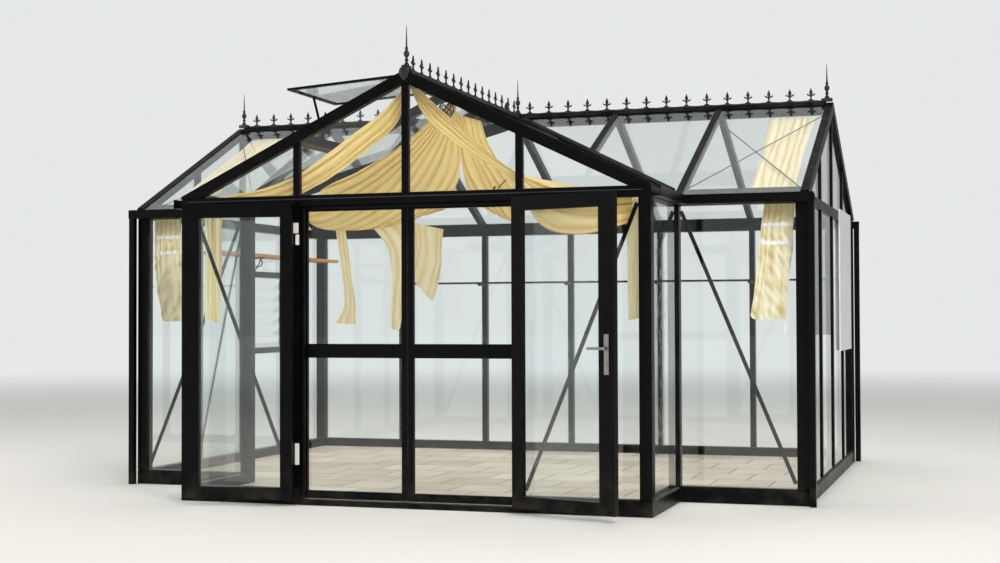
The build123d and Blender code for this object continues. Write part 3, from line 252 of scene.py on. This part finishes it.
# The panel outside the right end: a white PVC foam board hung on the beam. Its skin is smooth and
# satin, with faint scuffs and grey rain runs down it.
foam_board, tree, shader = new_finish("white_pvc_foam_board")
place = add(tree, "TexCoord").outputs["Object"]
streak = add(tree, "Mapping", {"Vector": place, "Scale": (1.0, 1.0, 0.08)})
runs = add(tree, "TexNoise", {"Vector": streak.outputs[0], "Scale": 1 / 0.03, "Detail": 4.0})
wet = add(tree, "MapRange", {0: runs.outputs[0], 1: 0.5, 2: 0.85})
shade = add(tree, "Mix", {0: wet.outputs[0], 6: linear("#DCDDE0"), 7: linear("#BDBFC0")}, data_type="RGBA")
tree.links.new(shade.outputs[2], shader.inputs["Base Color"])
scuff = add(tree, "MapRange", {0: runs.outputs[0], 3: 0.35, 4: 0.55})
tree.links.new(scuff.outputs[0], shader.inputs["Roughness"])
dress(["end_panel"], foam_board)

# The lever handle: pressed and brushed stainless steel, plates and levers alike. The brush marks run
# up the plates and are drawn about 0.4 mm apart, coarser than real, so that they show.
brushed, tree, shader = new_finish("brushed_stainless_steel")
shader.inputs["Base Color"].default_value = linear("#A9A7A2")
shader.inputs["Metallic"].default_value = 1.0
place = add(tree, "TexCoord").outputs["Object"]
strokes = add(tree, "Mapping", {"Vector": place, "Scale": (1.0, 1.0, 0.02)})
lines = add(tree, "TexNoise", {"Vector": strokes.outputs[0], "Scale": 1 / 0.0004, "Detail": 2.0})
rough = add(tree, "MapRange", {0: lines.outputs[0], 3: 0.22, 4: 0.42})
tree.links.new(rough.outputs[0], shader.inputs["Roughness"])
bumped = add(tree, "Bump", {"Height": lines.outputs[0], "Strength": 0.15, "Distance": 0.0001})
tree.links.new(bumped.outputs[0], shader.inputs["Normal"])
dress(["door_handle"], brushed)

# The cresting and the finials: injection-moulded ABS in black, snapped on the ridge caps in lengths.
# The moulding is satin and a little chalky on top where the sun has bleached it.
moulded, tree, shader = new_finish("moulded_abs_black")
place = add(tree, "TexCoord").outputs["Object"]
chalk = add(tree, "TexNoise", {"Vector": place, "Scale": 1 / 0.03, "Detail": 4.0})
pale = add(tree, "MapRange", {0: chalk.outputs[0], 1: 0.45, 2: 0.8})
shade = add(tree, "Mix", {0: pale.outputs[0], 6: linear("#141416"), 7: linear("#2B2B2C")}, data_type="RGBA")
tree.links.new(shade.outputs[2], shader.inputs["Base Color"])
rough = add(tree, "MapRange", {0: pale.outputs[0], 3: 0.42, 4: 0.65})
tree.links.new(rough.outputs[0], shader.inputs["Roughness"])
fine = add(tree, "TexNoise", {"Vector": place, "Scale": 1 / 0.001, "Detail": 1.0})
bumped = add(tree, "Bump", {"Height": fine.outputs[0], "Strength": 0.1, "Distance": 0.0002})
tree.links.new(bumped.outputs[0], shader.inputs["Normal"])
dress(["cresting", "finials"], moulded)


# The jamb labels: three blank vinyl stickers on the jamb beside the left doors, white and matt, with
# rounded corners and a little yellowed in patches.
def begin(name):
    """A new piece at the origin, in edit mode: what is added next becomes part of it."""
    bpy.ops.object.select_all(action="DESELECT")
    bpy.ops.object.add(type="MESH", location=(0, 0, 0))
    bpy.context.object.name = name
    bpy.ops.object.mode_set(mode="EDIT")
    return bpy.context.object


def settle(piece, finish, rides="frame"):
    """Leave edit mode with the normals outwards, and give the piece its finish and its body."""
    bpy.ops.mesh.select_all(action="SELECT")
    bpy.ops.mesh.normals_make_consistent(inside=False)
    bpy.ops.object.mode_set(mode="OBJECT")
    bpy.ops.object.shade_smooth_by_angle(angle=math.radians(35))
    piece.data.materials.append(finish)
    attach(piece, rides)


upright = (math.pi / 2, 0, 0)


def plates(boxes, face, thick, corner):
    """Upright plates with rounded corners on a face towards the front, as (x, x, z, z)."""
    for left, right, low, high in boxes:
        middle = ((left + right) / 2, face, (low + high) / 2)
        bpy.ops.mesh.select_all(action="DESELECT")
        bpy.ops.mesh.primitive_plane_add(size=1, location=middle, rotation=upright)
        bpy.ops.transform.resize(value=(right - left, 1, high - low), center_override=middle)
    bpy.ops.mesh.select_all(action="SELECT")
    bpy.ops.mesh.bevel(offset=corner, segments=4, affect="VERTICES")
    bpy.ops.mesh.extrude_region_move(TRANSFORM_OT_translate={"value": (0, -thick, 0)})


vinyl, tree, shader = new_finish("white_vinyl_label")
place = add(tree, "TexCoord").outputs["Object"]
aged = add(tree, "TexNoise", {"Vector": place, "Scale": 1 / 0.012, "Detail": 4.0})
worn = add(tree, "MapRange", {0: aged.outputs[0], 1: 0.4, 2: 0.75})
shade = add(tree, "Mix", {0: worn.outputs[0], 6: linear("#F1F1EF"), 7: linear("#D9D7CE")}, data_type="RGBA")
tree.links.new(shade.outputs[2], shader.inputs["Base Color"])
rough = add(tree, "MapRange", {0: worn.outputs[0], 3: 0.45, 4: 0.65})
tree.links.new(rough.outputs[0], shader.inputs["Roughness"])
labels = begin("jamb_labels")
spots = [(-0.759, -0.722, 1.712, 1.778), (-0.743, -0.717, 1.638, 1.704), (-0.747, -0.717, 0.25, 0.385)]
plates(spots, face=-1.955, thick=0.0006, corner=0.005)
settle(labels, vinyl)

# The door stops: black extruded strips, 20 mm deep, snapped to the jambs and under the tie beam in
# front of the inner doors, which shut against their seal.
stop_y, stop_depth = -1.935, 0.02
stops = begin("door_stops")
for middle, size in (
    ((-0.701, stop_y, 0.967), (0.03, stop_depth, 1.834)),
    ((0.701, stop_y, 0.967), (0.03, stop_depth, 1.834)),
    ((0, stop_y, 1.873), (1.372, stop_depth, 0.022)),
):
    bpy.ops.mesh.primitive_cube_add(size=1, location=middle, scale=size)
bpy.ops.mesh.select_all(action="SELECT")
bpy.ops.mesh.bevel(offset=0.003, segments=3, affect="EDGES")
settle(stops, powder)

# The louvre clips: pressed steel carriers, painted black, that hold the window's six blades in its
# jambs, two at each end of a blade.
clip_rows = 12
blades = [Vector(c) for c in frame["nodes"]["louvre_blades"].bound_box]
blades = [frame["nodes"]["louvre_blades"].matrix_world @ c for c in blades]
near, far = (end(c.y for c in blades) for end in (min, max))
low, high = (end(c.z for c in blades) for end in (min, max))
across = sum(c.x for c in blades) / 8
clips = begin("louvre_clips")
for n in range(clip_rows):
    for y in (near + 0.006, far - 0.006):
        spot = (across, y, low + (n + 0.5) * (high - low) / clip_rows)
        bpy.ops.mesh.primitive_cube_add(size=1, location=spot, scale=(0.026, 0.014, 0.012))
bpy.ops.mesh.select_all(action="SELECT")
bpy.ops.mesh.bevel(offset=0.003, segments=2, affect="EDGES")
settle(clips, powder)

# The bolts: domed heads of 14 mm, pressed in steel and painted black, on the front corner posts, where
# the tie beam and the front plinth meet them.
head_radius, head_depth, head_y = 0.007, 0.008, -1.96
heads = [(side * x, z) for side in (-1, 1) for x, z in ((1.533, 1.899), (1.522, 1.869), (1.492, 1.872))]
heads += [(x, z) for x in (-1.51, 1.51) for z in (0.13, 0.16)]
bolts = begin("frame_bolts")
for x, z in heads:
    bpy.ops.mesh.primitive_cylinder_add(
        vertices=14, radius=head_radius, depth=head_depth, location=(x, head_y, z), rotation=upright
    )
bpy.ops.mesh.select_all(action="SELECT")
bpy.ops.mesh.bevel(offset=0.0025, segments=3, affect="EDGES")
settle(bolts, powder)


# The ridge scroll: an openwork rosette of bent aluminium bar, 9 mm thick and painted black, that hangs
# under the bay's ridge where it meets the body.
def bend_bars(name, lines, thick, finish):
    """Round bars bent along smooth lines through points, as one piece."""
    drawn = bpy.data.curves.new(name, "CURVE")
    drawn.dimensions = "3D"
    drawn.bevel_depth = thick / 2
    drawn.bevel_resolution = 2
    drawn.use_fill_caps = True
    for line in lines:
        spline = drawn.splines.new("NURBS")
        spline.points.add(len(line) - 1)
        for point, spot in zip(spline.points, line):
            point.co = (*spot, 1.0)
        spline.order_u = 3
        spline.use_endpoint_u = True
    piece = bpy.data.objects.new(name, drawn)
    bpy.context.scene.collection.objects.link(piece)
    bpy.ops.object.select_all(action="DESELECT")
    piece.select_set(True)
    bpy.context.view_layer.objects.active = piece
    bpy.ops.object.convert(target="MESH")
    bpy.ops.object.mode_set(mode="EDIT")
    settle(piece, finish)


def curl(middle, start, turns, first, last, y):
    """A flat spiral from radius first to radius last, with Y across it."""
    steps = int(abs(turns) * 10) + 1
    line = []
    for n in range(steps + 1):
        angle = start + 2 * math.pi * turns * n / steps
        radius = first + (last - first) * n / steps
        line.append((middle[0] + radius * math.cos(angle), y, middle[1] + radius * math.sin(angle)))
    return line


scroll_x, scroll_y, scroll_z = -0.014, -1.16, 2.565
ring_radius, hub_reach = 0.055, 0.029
rosette = [curl((scroll_x, scroll_z), math.pi / 2, 1.0, ring_radius, ring_radius, scroll_y)]
for n in range(4):
    angle = math.pi / 4 + n * math.pi / 2
    hub = scroll_x + hub_reach * math.cos(angle), scroll_z + hub_reach * math.sin(angle)
    rosette.append(curl(hub, angle, 1.3, 0.024, 0.007, scroll_y))
bend_bars("ridge_scroll", rosette, 0.009, powder)

# The beam hook: a black wire hook, 7 mm thick, screwed to the back of the front tie beam, with a curl
# at its lower end.
hook = [(0.54, -1.885, 1.94), (0.545, -1.878, 1.95)]
hook += curl((0.565, 1.963), 0.0, -0.8, 0.016, 0.012, -1.876)[::-1]
hook += [(0.6, -1.878, 1.985), (0.622, -1.882, 2.004), (0.636, -1.884, 2.014)]
bend_bars("beam_hook", [hook], 0.007, powder)

# The rafter and beam trims: half-round snap-on beads, 6 mm wide, along the gable's rafters, the front
# tie beam and the eave beams of the wings. They are coated like the bars, with the same dust, but the
# coat is painted pale grey: a painted highlight along the edges of the bars.
# Painted highlight: a copy of the black coat with its colour painted pale grey.
highlight_coat = powder.copy()
highlight_coat.name = "powder_coat_painted_highlight"
highlight_coat.node_tree.nodes["coat_dust_and_painted_highlight"].inputs[6].default_value = linear("#3C3D44")
bay_face, wing_face = -1.9595, -1.1455
rafter_head, rafter_fall = 2.664, 0.482
beads = []
for side in (-1, 1):
    beads.append([(side * x, bay_face, rafter_head - rafter_fall * x) for x in (0.05, 0.7, 1.42)])
    beads.append([(side * x, wing_face, 1.93) for x in (1.6, 1.9, 2.36)])
beads.append([(x, bay_face, 1.927) for x in (-1.5, 0.0, 1.5)])
bend_bars("trim_beads_painted_highlight", beads, 0.006, highlight_coat)

# The apex shield: a moulded black cover plate over the joint of the gable's two rafters, 67 mm at its
# widest and 86 mm tall. It narrows downwards to a blunt point, and its rim is bevelled.
shield_foot, shield_height, shield_y = 2.646, 0.086, -1.9605
shield = begin("apex_shield")
bpy.ops.mesh.primitive_circle_add(
    vertices=40, radius=1, fill_type="NGON", location=(0, 0, 0), rotation=upright
)
bpy.ops.object.mode_set(mode="OBJECT")
for v in shield.data.vertices:
    part = (v.co.z + 1) / 2
    v.co = (v.co.x * (0.016 + 0.026 * part**0.7), shield_y, shield_foot + shield_height * part)
bpy.ops.object.mode_set(mode="EDIT")
bpy.ops.mesh.select_all(action="SELECT")
bpy.ops.mesh.extrude_region_move(TRANSFORM_OT_translate={"value": (0, -0.008, 0)})
bpy.ops.mesh.inset(thickness=0.006, depth=0.0)
bpy.ops.transform.translate(value=(0, -0.003, 0))
settle(shield, moulded)

# The gutter brackets: pressed black aluminium straps, 18 mm wide, that hold the wings' gutters to the
# eave beams from below, with a rounded nose.
strap_size = (0.018, 0.056, 0.003)
strap_y, strap_z = wing_face - strap_size[1] / 2, 1.8865
for side, label in ((-1, "left"), (1, "right")):
    straps = begin(f"{label}_gutter_brackets")
    for x in (1.72, 2.02, 2.3):
        bpy.ops.mesh.primitive_cube_add(size=1, location=(side * x, strap_y, strap_z), scale=strap_size)
    bpy.ops.mesh.select_all(action="SELECT")
    bpy.ops.mesh.bevel(offset=0.0012, segments=2, affect="EDGES")
    settle(straps, powder)


# The front swags: one long cotton voile scarf, cream, tied at the ridge behind the front gable. One
# end falls to the left eave and one to the right. Its colour is painted light and shade: yellow for
# the light that comes through it, darker in the troughs of its folds.
voile, tree, shader = new_finish("cotton_voile_painted_backlight")
# The thread is 0.4 mm apart in the real cloth. A wave texture repeats every 314 mm at scale 1, so at
# this scale the thread is drawn 4 mm apart, coarse enough to show.
chart = add(tree, "UVMap", uv_map="cloth_metres").outputs[0]
thread = {"Vector": chart, "Scale": 1 / 0.002 / 6.283, "Distortion": 1.5}
warp = add(tree, "TexWave", thread, bands_direction="X")
weft = add(tree, "TexWave", thread, bands_direction="Y")
weave = add(tree, "Math", {0: warp.outputs["Fac"], 1: weft.outputs["Fac"]}, operation="ADD")
slub = add(tree, "TexNoise", {"Vector": chart, "Scale": 1 / 0.09, "Detail": 5.0})
# Painted shade: the crests of the folds are painted pale and their troughs a darker, deeper yellow.
fold_shade = add(tree, "Attribute", attribute_name="fold_shade")
painted_shade = {0: slub.outputs[0], 1: 0.5, 2: fold_shade.outputs["Fac"]}
painted_shade = add(tree, "Math", painted_shade, operation="MULTIPLY_ADD")
painted_shade = add(tree, "MapRange", {0: painted_shade.outputs[0], 1: 0.2, 2: 1.2})
shade = {0: painted_shade.outputs[0], 6: linear("#C79B3E"), 7: linear("#F7EAB9")}
shade = add(tree, "Mix", shade, data_type="RGBA")
shade.name = "painted_shade_of_folds"
tree.links.new(shade.outputs[2], shader.inputs["Base Color"])
shader.inputs["Roughness"].default_value = 0.75
shader.inputs["Sheen Weight"].default_value = 0.25
shader.inputs["Sheen Roughness"].default_value = 0.4
bumped = add(tree, "Bump", {"Height": weave.outputs[0], "Strength": 0.2, "Distance": 0.0003})
tree.links.new(bumped.outputs[0], shader.inputs["Normal"])
glowing = add(tree, "BsdfTranslucent", {"Color": linear("#F4D67E")})
glowing.name = "light_through"
mixed = add(tree, "MixShader", {0: 0.42, 1: shader.outputs[0], 2: glowing.outputs[0]})
tree.links.new(mixed.outputs[0], tree.nodes["Material Output"].inputs["Surface"])


def smooth_line(points, t):
    """A point at t, from 0 to 1, on a smooth line through points."""
    spot = min(max(t, 0.0), 1.0) * (len(points) - 1)
    n = min(int(spot), len(points) - 2)
    part = spot - n
    before, start, end, after = (Vector(points[min(max(n + k, 0), len(points) - 1)]) for k in (-1, 0, 1, 2))
    slope_in, slope_out = (end - before) / 2, (after - start) / 2
    turns = (
        2 * part**3 - 3 * part**2 + 1,
        part**3 - 2 * part**2 + part,
        3 * part**2 - 2 * part**3,
        part**3 - part**2,
    )
    return turns[0] * start + turns[1] * slope_in + turns[2] * end + turns[3] * slope_out


def lay_cloth(name, flat, fields, place, finish=voile):
    """A sheet of cloth as a grid. place(across, down) gives each point and its painted shade, from 0 to 1."""
    wide, long = fields
    bpy.ops.object.select_all(action="DESELECT")
    bpy.ops.mesh.primitive_grid_add(x_subdivisions=wide, y_subdivisions=long, size=2, location=(0, 0, 0))
    cloth = bpy.context.object
    cloth.name = name
    chart = cloth.data.uv_layers[0]
    chart.name = "cloth_metres"
    for loop in chart.data:
        loop.uv = (loop.uv[0] * flat[0], loop.uv[1] * flat[1])
    folds = cloth.data.attributes.new("fold_shade", "FLOAT", "POINT")
    for v in cloth.data.vertices:
        v.co, folds.data[v.index].value = place((v.co.x + 1) / 2, (1 - v.co.y) / 2)
    bpy.ops.object.shade_smooth()
    cloth.data.materials.append(finish)
    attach(cloth, "frame")
    return cloth


def edged(left, right, top, foot, across, down):
    """A point between four edges, each a smooth line of X and Z."""
    edges = smooth_line(left, down), smooth_line(right, down)
    spot = edges[0].lerp(edges[1], across)
    spot += (1 - down) * (smooth_line(top, across) - smooth_line(left, 0).lerp(smooth_line(right, 0), across))
    spot += down * (smooth_line(foot, across) - smooth_line(left, 1).lerp(smooth_line(right, 1), across))
    return spot, (edges[1] - edges[0]).length


def gathered(across, down, wide, folds, reach, seed):
    """How far a pleat stands out, no deeper than its width allows, and its painted shade: pale at its crest.
    """
    wander = noise.noise(Vector((4 * across, 1.7 * down, seed)))
    turn = 2 * math.pi * (folds * across + 0.5 * wander)
    wave = (math.sin(turn) + 0.35 * math.sin(2 * turn + 1.1)) / 1.3
    wave *= 0.7 + 0.6 * noise.noise(Vector((6 * across, 2.5 * down, seed + 20)))
    return min(reach, 0.34 * wide / folds) * wave, min(1.0, max(0.0, 0.5 + 0.5 * wave))


def crease(spot, size, depth):
    """Small uneven creases: how far a point of the cloth stands out."""
    return depth * noise.noise(Vector(spot) / size)


def hung(left, right, folds, plane, seed, top=None, foot=None, sweep=0.0, reach=0.018):
    """A gathered cloth in an upright plane across the greenhouse. Near its foot the folds sweep aside."""
    top = top or [left[0], right[0]]
    foot = foot or [left[-1], right[-1]]

    def place(across, down):
        spot, wide = edged(left, right, top, foot, across, down)
        out, fold_shade = gathered(across + sweep * down**6, down, wide, folds, reach, seed)
        out += crease((spot.x, spot.y, seed), 0.11, 0.006 * min(1.0, 6 * down))
        # Painted shade: the cloth is painted darker and yellower near where it is tied.
        return Vector((spot.x, plane + out, spot.y)), max(0.0, fold_shade - 0.4 * math.exp(-12 * down))

    return place


front_cloth_y = -1.853
upper = [(-0.05, 2.612), (-0.2, 2.468), (-0.4, 2.335), (-0.6, 2.2), (-0.8, 2.085)]
upper += [(-1.05, 2.005), (-1.4, 1.955)]
lower = [(-0.006, 2.6), (-0.1, 2.39), (-0.28, 2.245), (-0.462, 2.118), (-0.64, 2.02)]
lower += [(-0.9, 1.93), (-1.4, 1.9)]
swag = hung(upper, lower, 3, front_cloth_y, 1)
left_swag = lay_cloth("front_swag_left", (0.62, 1.6), (60, 140), swag)
upper = [(0.05, 2.612), (0.185, 2.484), (0.384, 2.307), (0.56, 2.153), (0.723, 2.05)]
upper += [(0.95, 1.995), (1.2, 1.94), (1.416, 1.898)]
lower = [(0.004, 2.6), (0.1, 2.42), (0.258, 2.283), (0.43, 2.165), (0.68, 2.0)]
lower += [(0.85, 1.735), (1.1, 1.674), (1.416, 1.742)]
swag = hung(upper, lower, 5, front_cloth_y, 2)
right_swag = lay_cloth("front_swag_right", (0.62, 1.75), (80, 160), swag)

# The inner fan: the same voile tied to the ridge further in, behind the front swags. It falls in
# pleats that open downwards to the left eave.
inner_cloth_y = -1.101
fan_left = [(-0.018, 2.616), (-0.33, 2.37), (-0.66, 2.19), (-0.93, 2.07), (-1.09, 1.86)]
fan_right = [(0.028, 2.616), (0.062, 2.42), (0.064, 2.25), (0.04, 2.06), (-0.05, 1.9)]
fan_foot = [(-1.09, 1.86), (-0.95, 1.79), (-0.75, 1.775), (-0.55, 1.782), (-0.36, 1.815)]
fan_foot += [(-0.2, 1.86), (-0.05, 1.9)]
fan = hung(fan_left, fan_right, 10, inner_cloth_y, 3, foot=fan_foot, sweep=0.35)
inner_fan = lay_cloth("inner_fan", (1.5, 1.0), (220, 90), fan)

# The fan's right half: the end of the same cloth, gathered in a ruffle under the ridge. It falls to
# the right, 12 mm behind the fan, and leaves a gap beside it.
half_left = [(0.02, 2.55), (0.046, 2.4), (0.062, 2.27), (0.085, 2.13), (0.112, 1.965)]
half_right = [(0.207, 2.489), (0.255, 2.345), (0.34, 2.2), (0.46, 2.02), (0.51, 1.79)]
half_top = [(0.02, 2.55), (0.1, 2.522), (0.207, 2.489)]
half_foot = [(0.112, 1.965), (0.222, 1.906), (0.323, 1.851), (0.423, 1.808), (0.51, 1.79)]
half = hung(half_left, half_right, 6, inner_cloth_y + 0.012, 4, top=half_top, foot=half_foot, sweep=-0.3)
fan_half = lay_cloth("inner_fan_right", (0.6, 0.75), (90, 70), half)

# The tails: loose ends of the voile that drop from the fan's foot, one at the left and one behind the
# meeting doors. They hang in a single layer, and are painted paler than the fan, as painted light.
tail_y = inner_cloth_y + 0.003
# Painted light: a lit copy of the voile, the same cloth with every colour painted paler.
lit_voile = voile.copy()
lit_voile.name = "cotton_voile_painted_lit"
tones = lit_voile.node_tree.nodes
tones["painted_shade_of_folds"].inputs[6].default_value = linear("#D2B25F")
tones["painted_shade_of_folds"].inputs[7].default_value = linear("#FFFAE8")
tones["light_through"].inputs["Color"].default_value = linear("#FFF0BE")
tail_left = [(-0.85, 1.79), (-0.82, 1.6), (-0.795, 1.42), (-0.79, 1.25), (-0.86, 1.14)]
tail_right = [(-0.775, 1.785), (-0.752, 1.64), (-0.728, 1.45), (-0.7, 1.28), (-0.7, 1.13)]
tail = hung(tail_left, tail_right, 3, tail_y, 5)
left_tail = lay_cloth("left_tail", (0.3, 0.6), (60, 60), tail, lit_voile)
tail_left = [(-0.58, 1.798), (-0.47, 1.67), (-0.431, 1.5), (-0.44, 1.3), (-0.445, 1.11)]
tail_right = [(-0.06, 1.77), (-0.072, 1.65), (-0.075, 1.52), (-0.1, 1.4), (-0.135, 1.28)]
tail_top = [(-0.58, 1.798), (-0.36, 1.84), (-0.2, 1.8), (-0.06, 1.77)]
tail_foot = [(-0.445, 1.11), (-0.371, 1.11), (-0.335, 1.39), (-0.285, 1.43), (-0.2, 1.34), (-0.135, 1.28)]
tail = hung(tail_left, tail_right, 8, tail_y, 6, top=tail_top, foot=tail_foot)
right_tail = lay_cloth("right_tail", (0.7, 0.5), (120, 80), tail, lit_voile)
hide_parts("swags")

# The bay's side curtains: two narrow voile strips, one each side of the doors, gathered on a wire at
# the eave and hanging to waist height just inside the glass. The right one is drawn round the corner.
strip_x, strip_y, strip_wide, strip_reach = 1.4617, -1.822, 0.235, 0.0125
strip_top, strip_foot, drawn_in = 1.888, 1.156, 0.09
for side, label in ((-1, "left"), (1, "right")):

    def strip(across, down):
        y = strip_y + strip_wide * (0.5 + (across - 0.5) * (1.0 - 0.2 * down))
        out, fold_shade = gathered(across, down, strip_wide, 4, strip_reach, 7 + side)
        x = side * (strip_x + min(strip_reach, max(-strip_reach, out)))
        if side > 0:
            x -= drawn_in * max(0.0, 1 - 2.6 * across) ** 1.3
        hem = 0.012 * math.sin(6 * across)
        return Vector((x, y, strip_top - (strip_top - strip_foot - hem) * down)), fold_shade

    lay_cloth(f"{label}_side_curtain", (0.5, 0.75), (56, 60), strip, lit_voile)
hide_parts("curtains")

# The end drapes: a long voile curtain over each end bay, gathered on a wire under the ridge, drawn
# down under the roof glass to the eave and left to hang there, pinched by two elastic bands.
ridge_y, eave_y = 0.385, -1.064
ridge_low, eave_low = 2.610, 1.913
drape_edge, drape_wide, drape_shift = 2.2835, 0.3285, 0.03
curtain_y, curtain_reach = -1.0547, 0.0125
elastic_at = 0.19, 0.36
# The elastic is a knitted white band, 27 mm wide, sewn over the gathers, which it holds flat. The ribs
# across it are drawn 6 mm apart, coarser than real, so that they show.
elastic, tree, shader = new_finish("knitted_elastic_white")
chart = add(tree, "UVMap", uv_map="cloth_metres").outputs[0]
ribs = {"Vector": chart, "Scale": 1 / 0.003 / 6.283}
ribs = add(tree, "TexWave", ribs, bands_direction="X").outputs["Fac"]
shade = add(tree, "Mix", {0: ribs, 6: linear("#D9D8D2"), 7: linear("#F4F3EF")}, data_type="RGBA")
tree.links.new(shade.outputs[2], shader.inputs["Base Color"])
shader.inputs["Roughness"].default_value = 0.8
bumped = add(tree, "Bump", {"Height": ribs, "Strength": 0.4, "Distance": 0.0006})
tree.links.new(bumped.outputs[0], shader.inputs["Normal"])
left_edges = [
    [(-2.283, 1.897), (-2.284, 1.75), (-2.284, 1.62), (-2.278, 1.48), (-2.25, 1.3), (-2.215, 1.155)],
    [(-2.076, 1.897), (-2.07, 1.75), (-2.064, 1.62), (-2.06, 1.48), (-2.056, 1.3), (-2.058, 1.155)],
]
right_edges = [
    [(2.085, 1.897), (2.064, 1.75), (2.05, 1.62), (2.036, 1.48), (2.012, 1.3), (1.992, 1.18)],
    [(2.283, 1.897), (2.266, 1.75), (2.264, 1.62), (2.246, 1.48), (2.228, 1.3), (2.214, 1.165)],
]
for side, label, edges in ((-1, "left", left_edges), (1, "right", right_edges)):

    def under_roof(across, down):
        y = ridge_y - (ridge_y - eave_y) * down
        pinch = 0.5 + (across - 0.5) * (0.985 - 0.1 * math.sin(math.pi * down) - 0.16 * down**3)
        x = side * (drape_edge - drape_wide * pinch - drape_shift * (1 - down))
        z = ridge_low + (eave_low - ridge_low) * down
        out, fold_shade = gathered(across, 1.6 * down, 0.33, 6, 0.0095, 11 + side)
        out += crease((x * 3, down * 1.6, side), 0.1, 0.003)
        return Vector((x, y + out * 0.43, z - 0.006 + out * 0.9)), fold_shade

    upper = lay_cloth(f"{label}_roof_drape", (0.55, 1.65), (130, 90), under_roof, lit_voile)

    def below_eave(across, down, proud=0.0):
        """Gathered at the top, held flat by the elastic, and puffed and rumpled under it."""
        foot = [edges[0][-1], (edges[0][-1][0] * 0.8 + edges[1][-1][0] * 0.2, 1.155), edges[1][-1]]
        spot, wide = edged(*edges, [edges[0][0], edges[1][0]], foot, across, down)
        flat = sum(math.exp(-(((down - at) / 0.03) ** 2)) for at in elastic_at)
        out, fold_shade = gathered(across, 1.5 * down, wide, 6.5 - 3 * down, curtain_reach, 15 + side)
        out *= (1 - 0.6 * flat) * (1 - 0.45 * down)
        slant = spot.x * side + 0.55 * spot.y
        puff = 0.016 * min(1.0, 3 * down) * (1 - flat)
        rumple = crease((slant * 2.2, spot.y, side), 0.09, puff)
        y = curtain_y - proud + min(curtain_reach, max(-curtain_reach, out + rumple))
        # Painted shade: darker near the curtain's head under the eave, light and dark with its rumples, and
        # paler lower down.
        fold_shade = fold_shade * (1 - 0.5 * down) + 0.5 * down + 60 * rumple - 0.8 * math.exp(-9 * down)
        return Vector((spot.x, y, spot.y)), min(1.0, max(0.0, fold_shade))

    lower = lay_cloth(f"{label}_end_curtain", (0.5, 0.75), (110, 140), below_eave, lit_voile)
    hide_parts(f"{label}_drape")
    for number, at in enumerate(elastic_at, 1):

        def sewn(across, down):
            frill = 0.006 * noise.noise(Vector((60 * across, 3 * number, side)))
            return below_eave(across, at + (down - 0.5) * (0.036 + frill) + frill, 0.0016)

        band = lay_cloth(f"{label}_elastic_{number}", (0.21, 0.027), (110, 6), sewn, elastic)


# The tie at the right end curtain's hem: a flat woven tape, white and 12 mm wide, sewn to the hem's
# corner and left to hang.
tape_wide, tape_long = 0.012, 0.177


def tape(across, down):
    sway = 0.004 * math.sin(3 * down) + 0.001 * math.sin(math.pi * across)
    return Vector((2.199 + tape_wide * across + 0.006 * down, -1.056 + sway, 1.236 - tape_long * down)), 1.0


tie = lay_cloth("right_curtain_tie", (tape_wide, tape_long), (4, 24), tape, elastic)
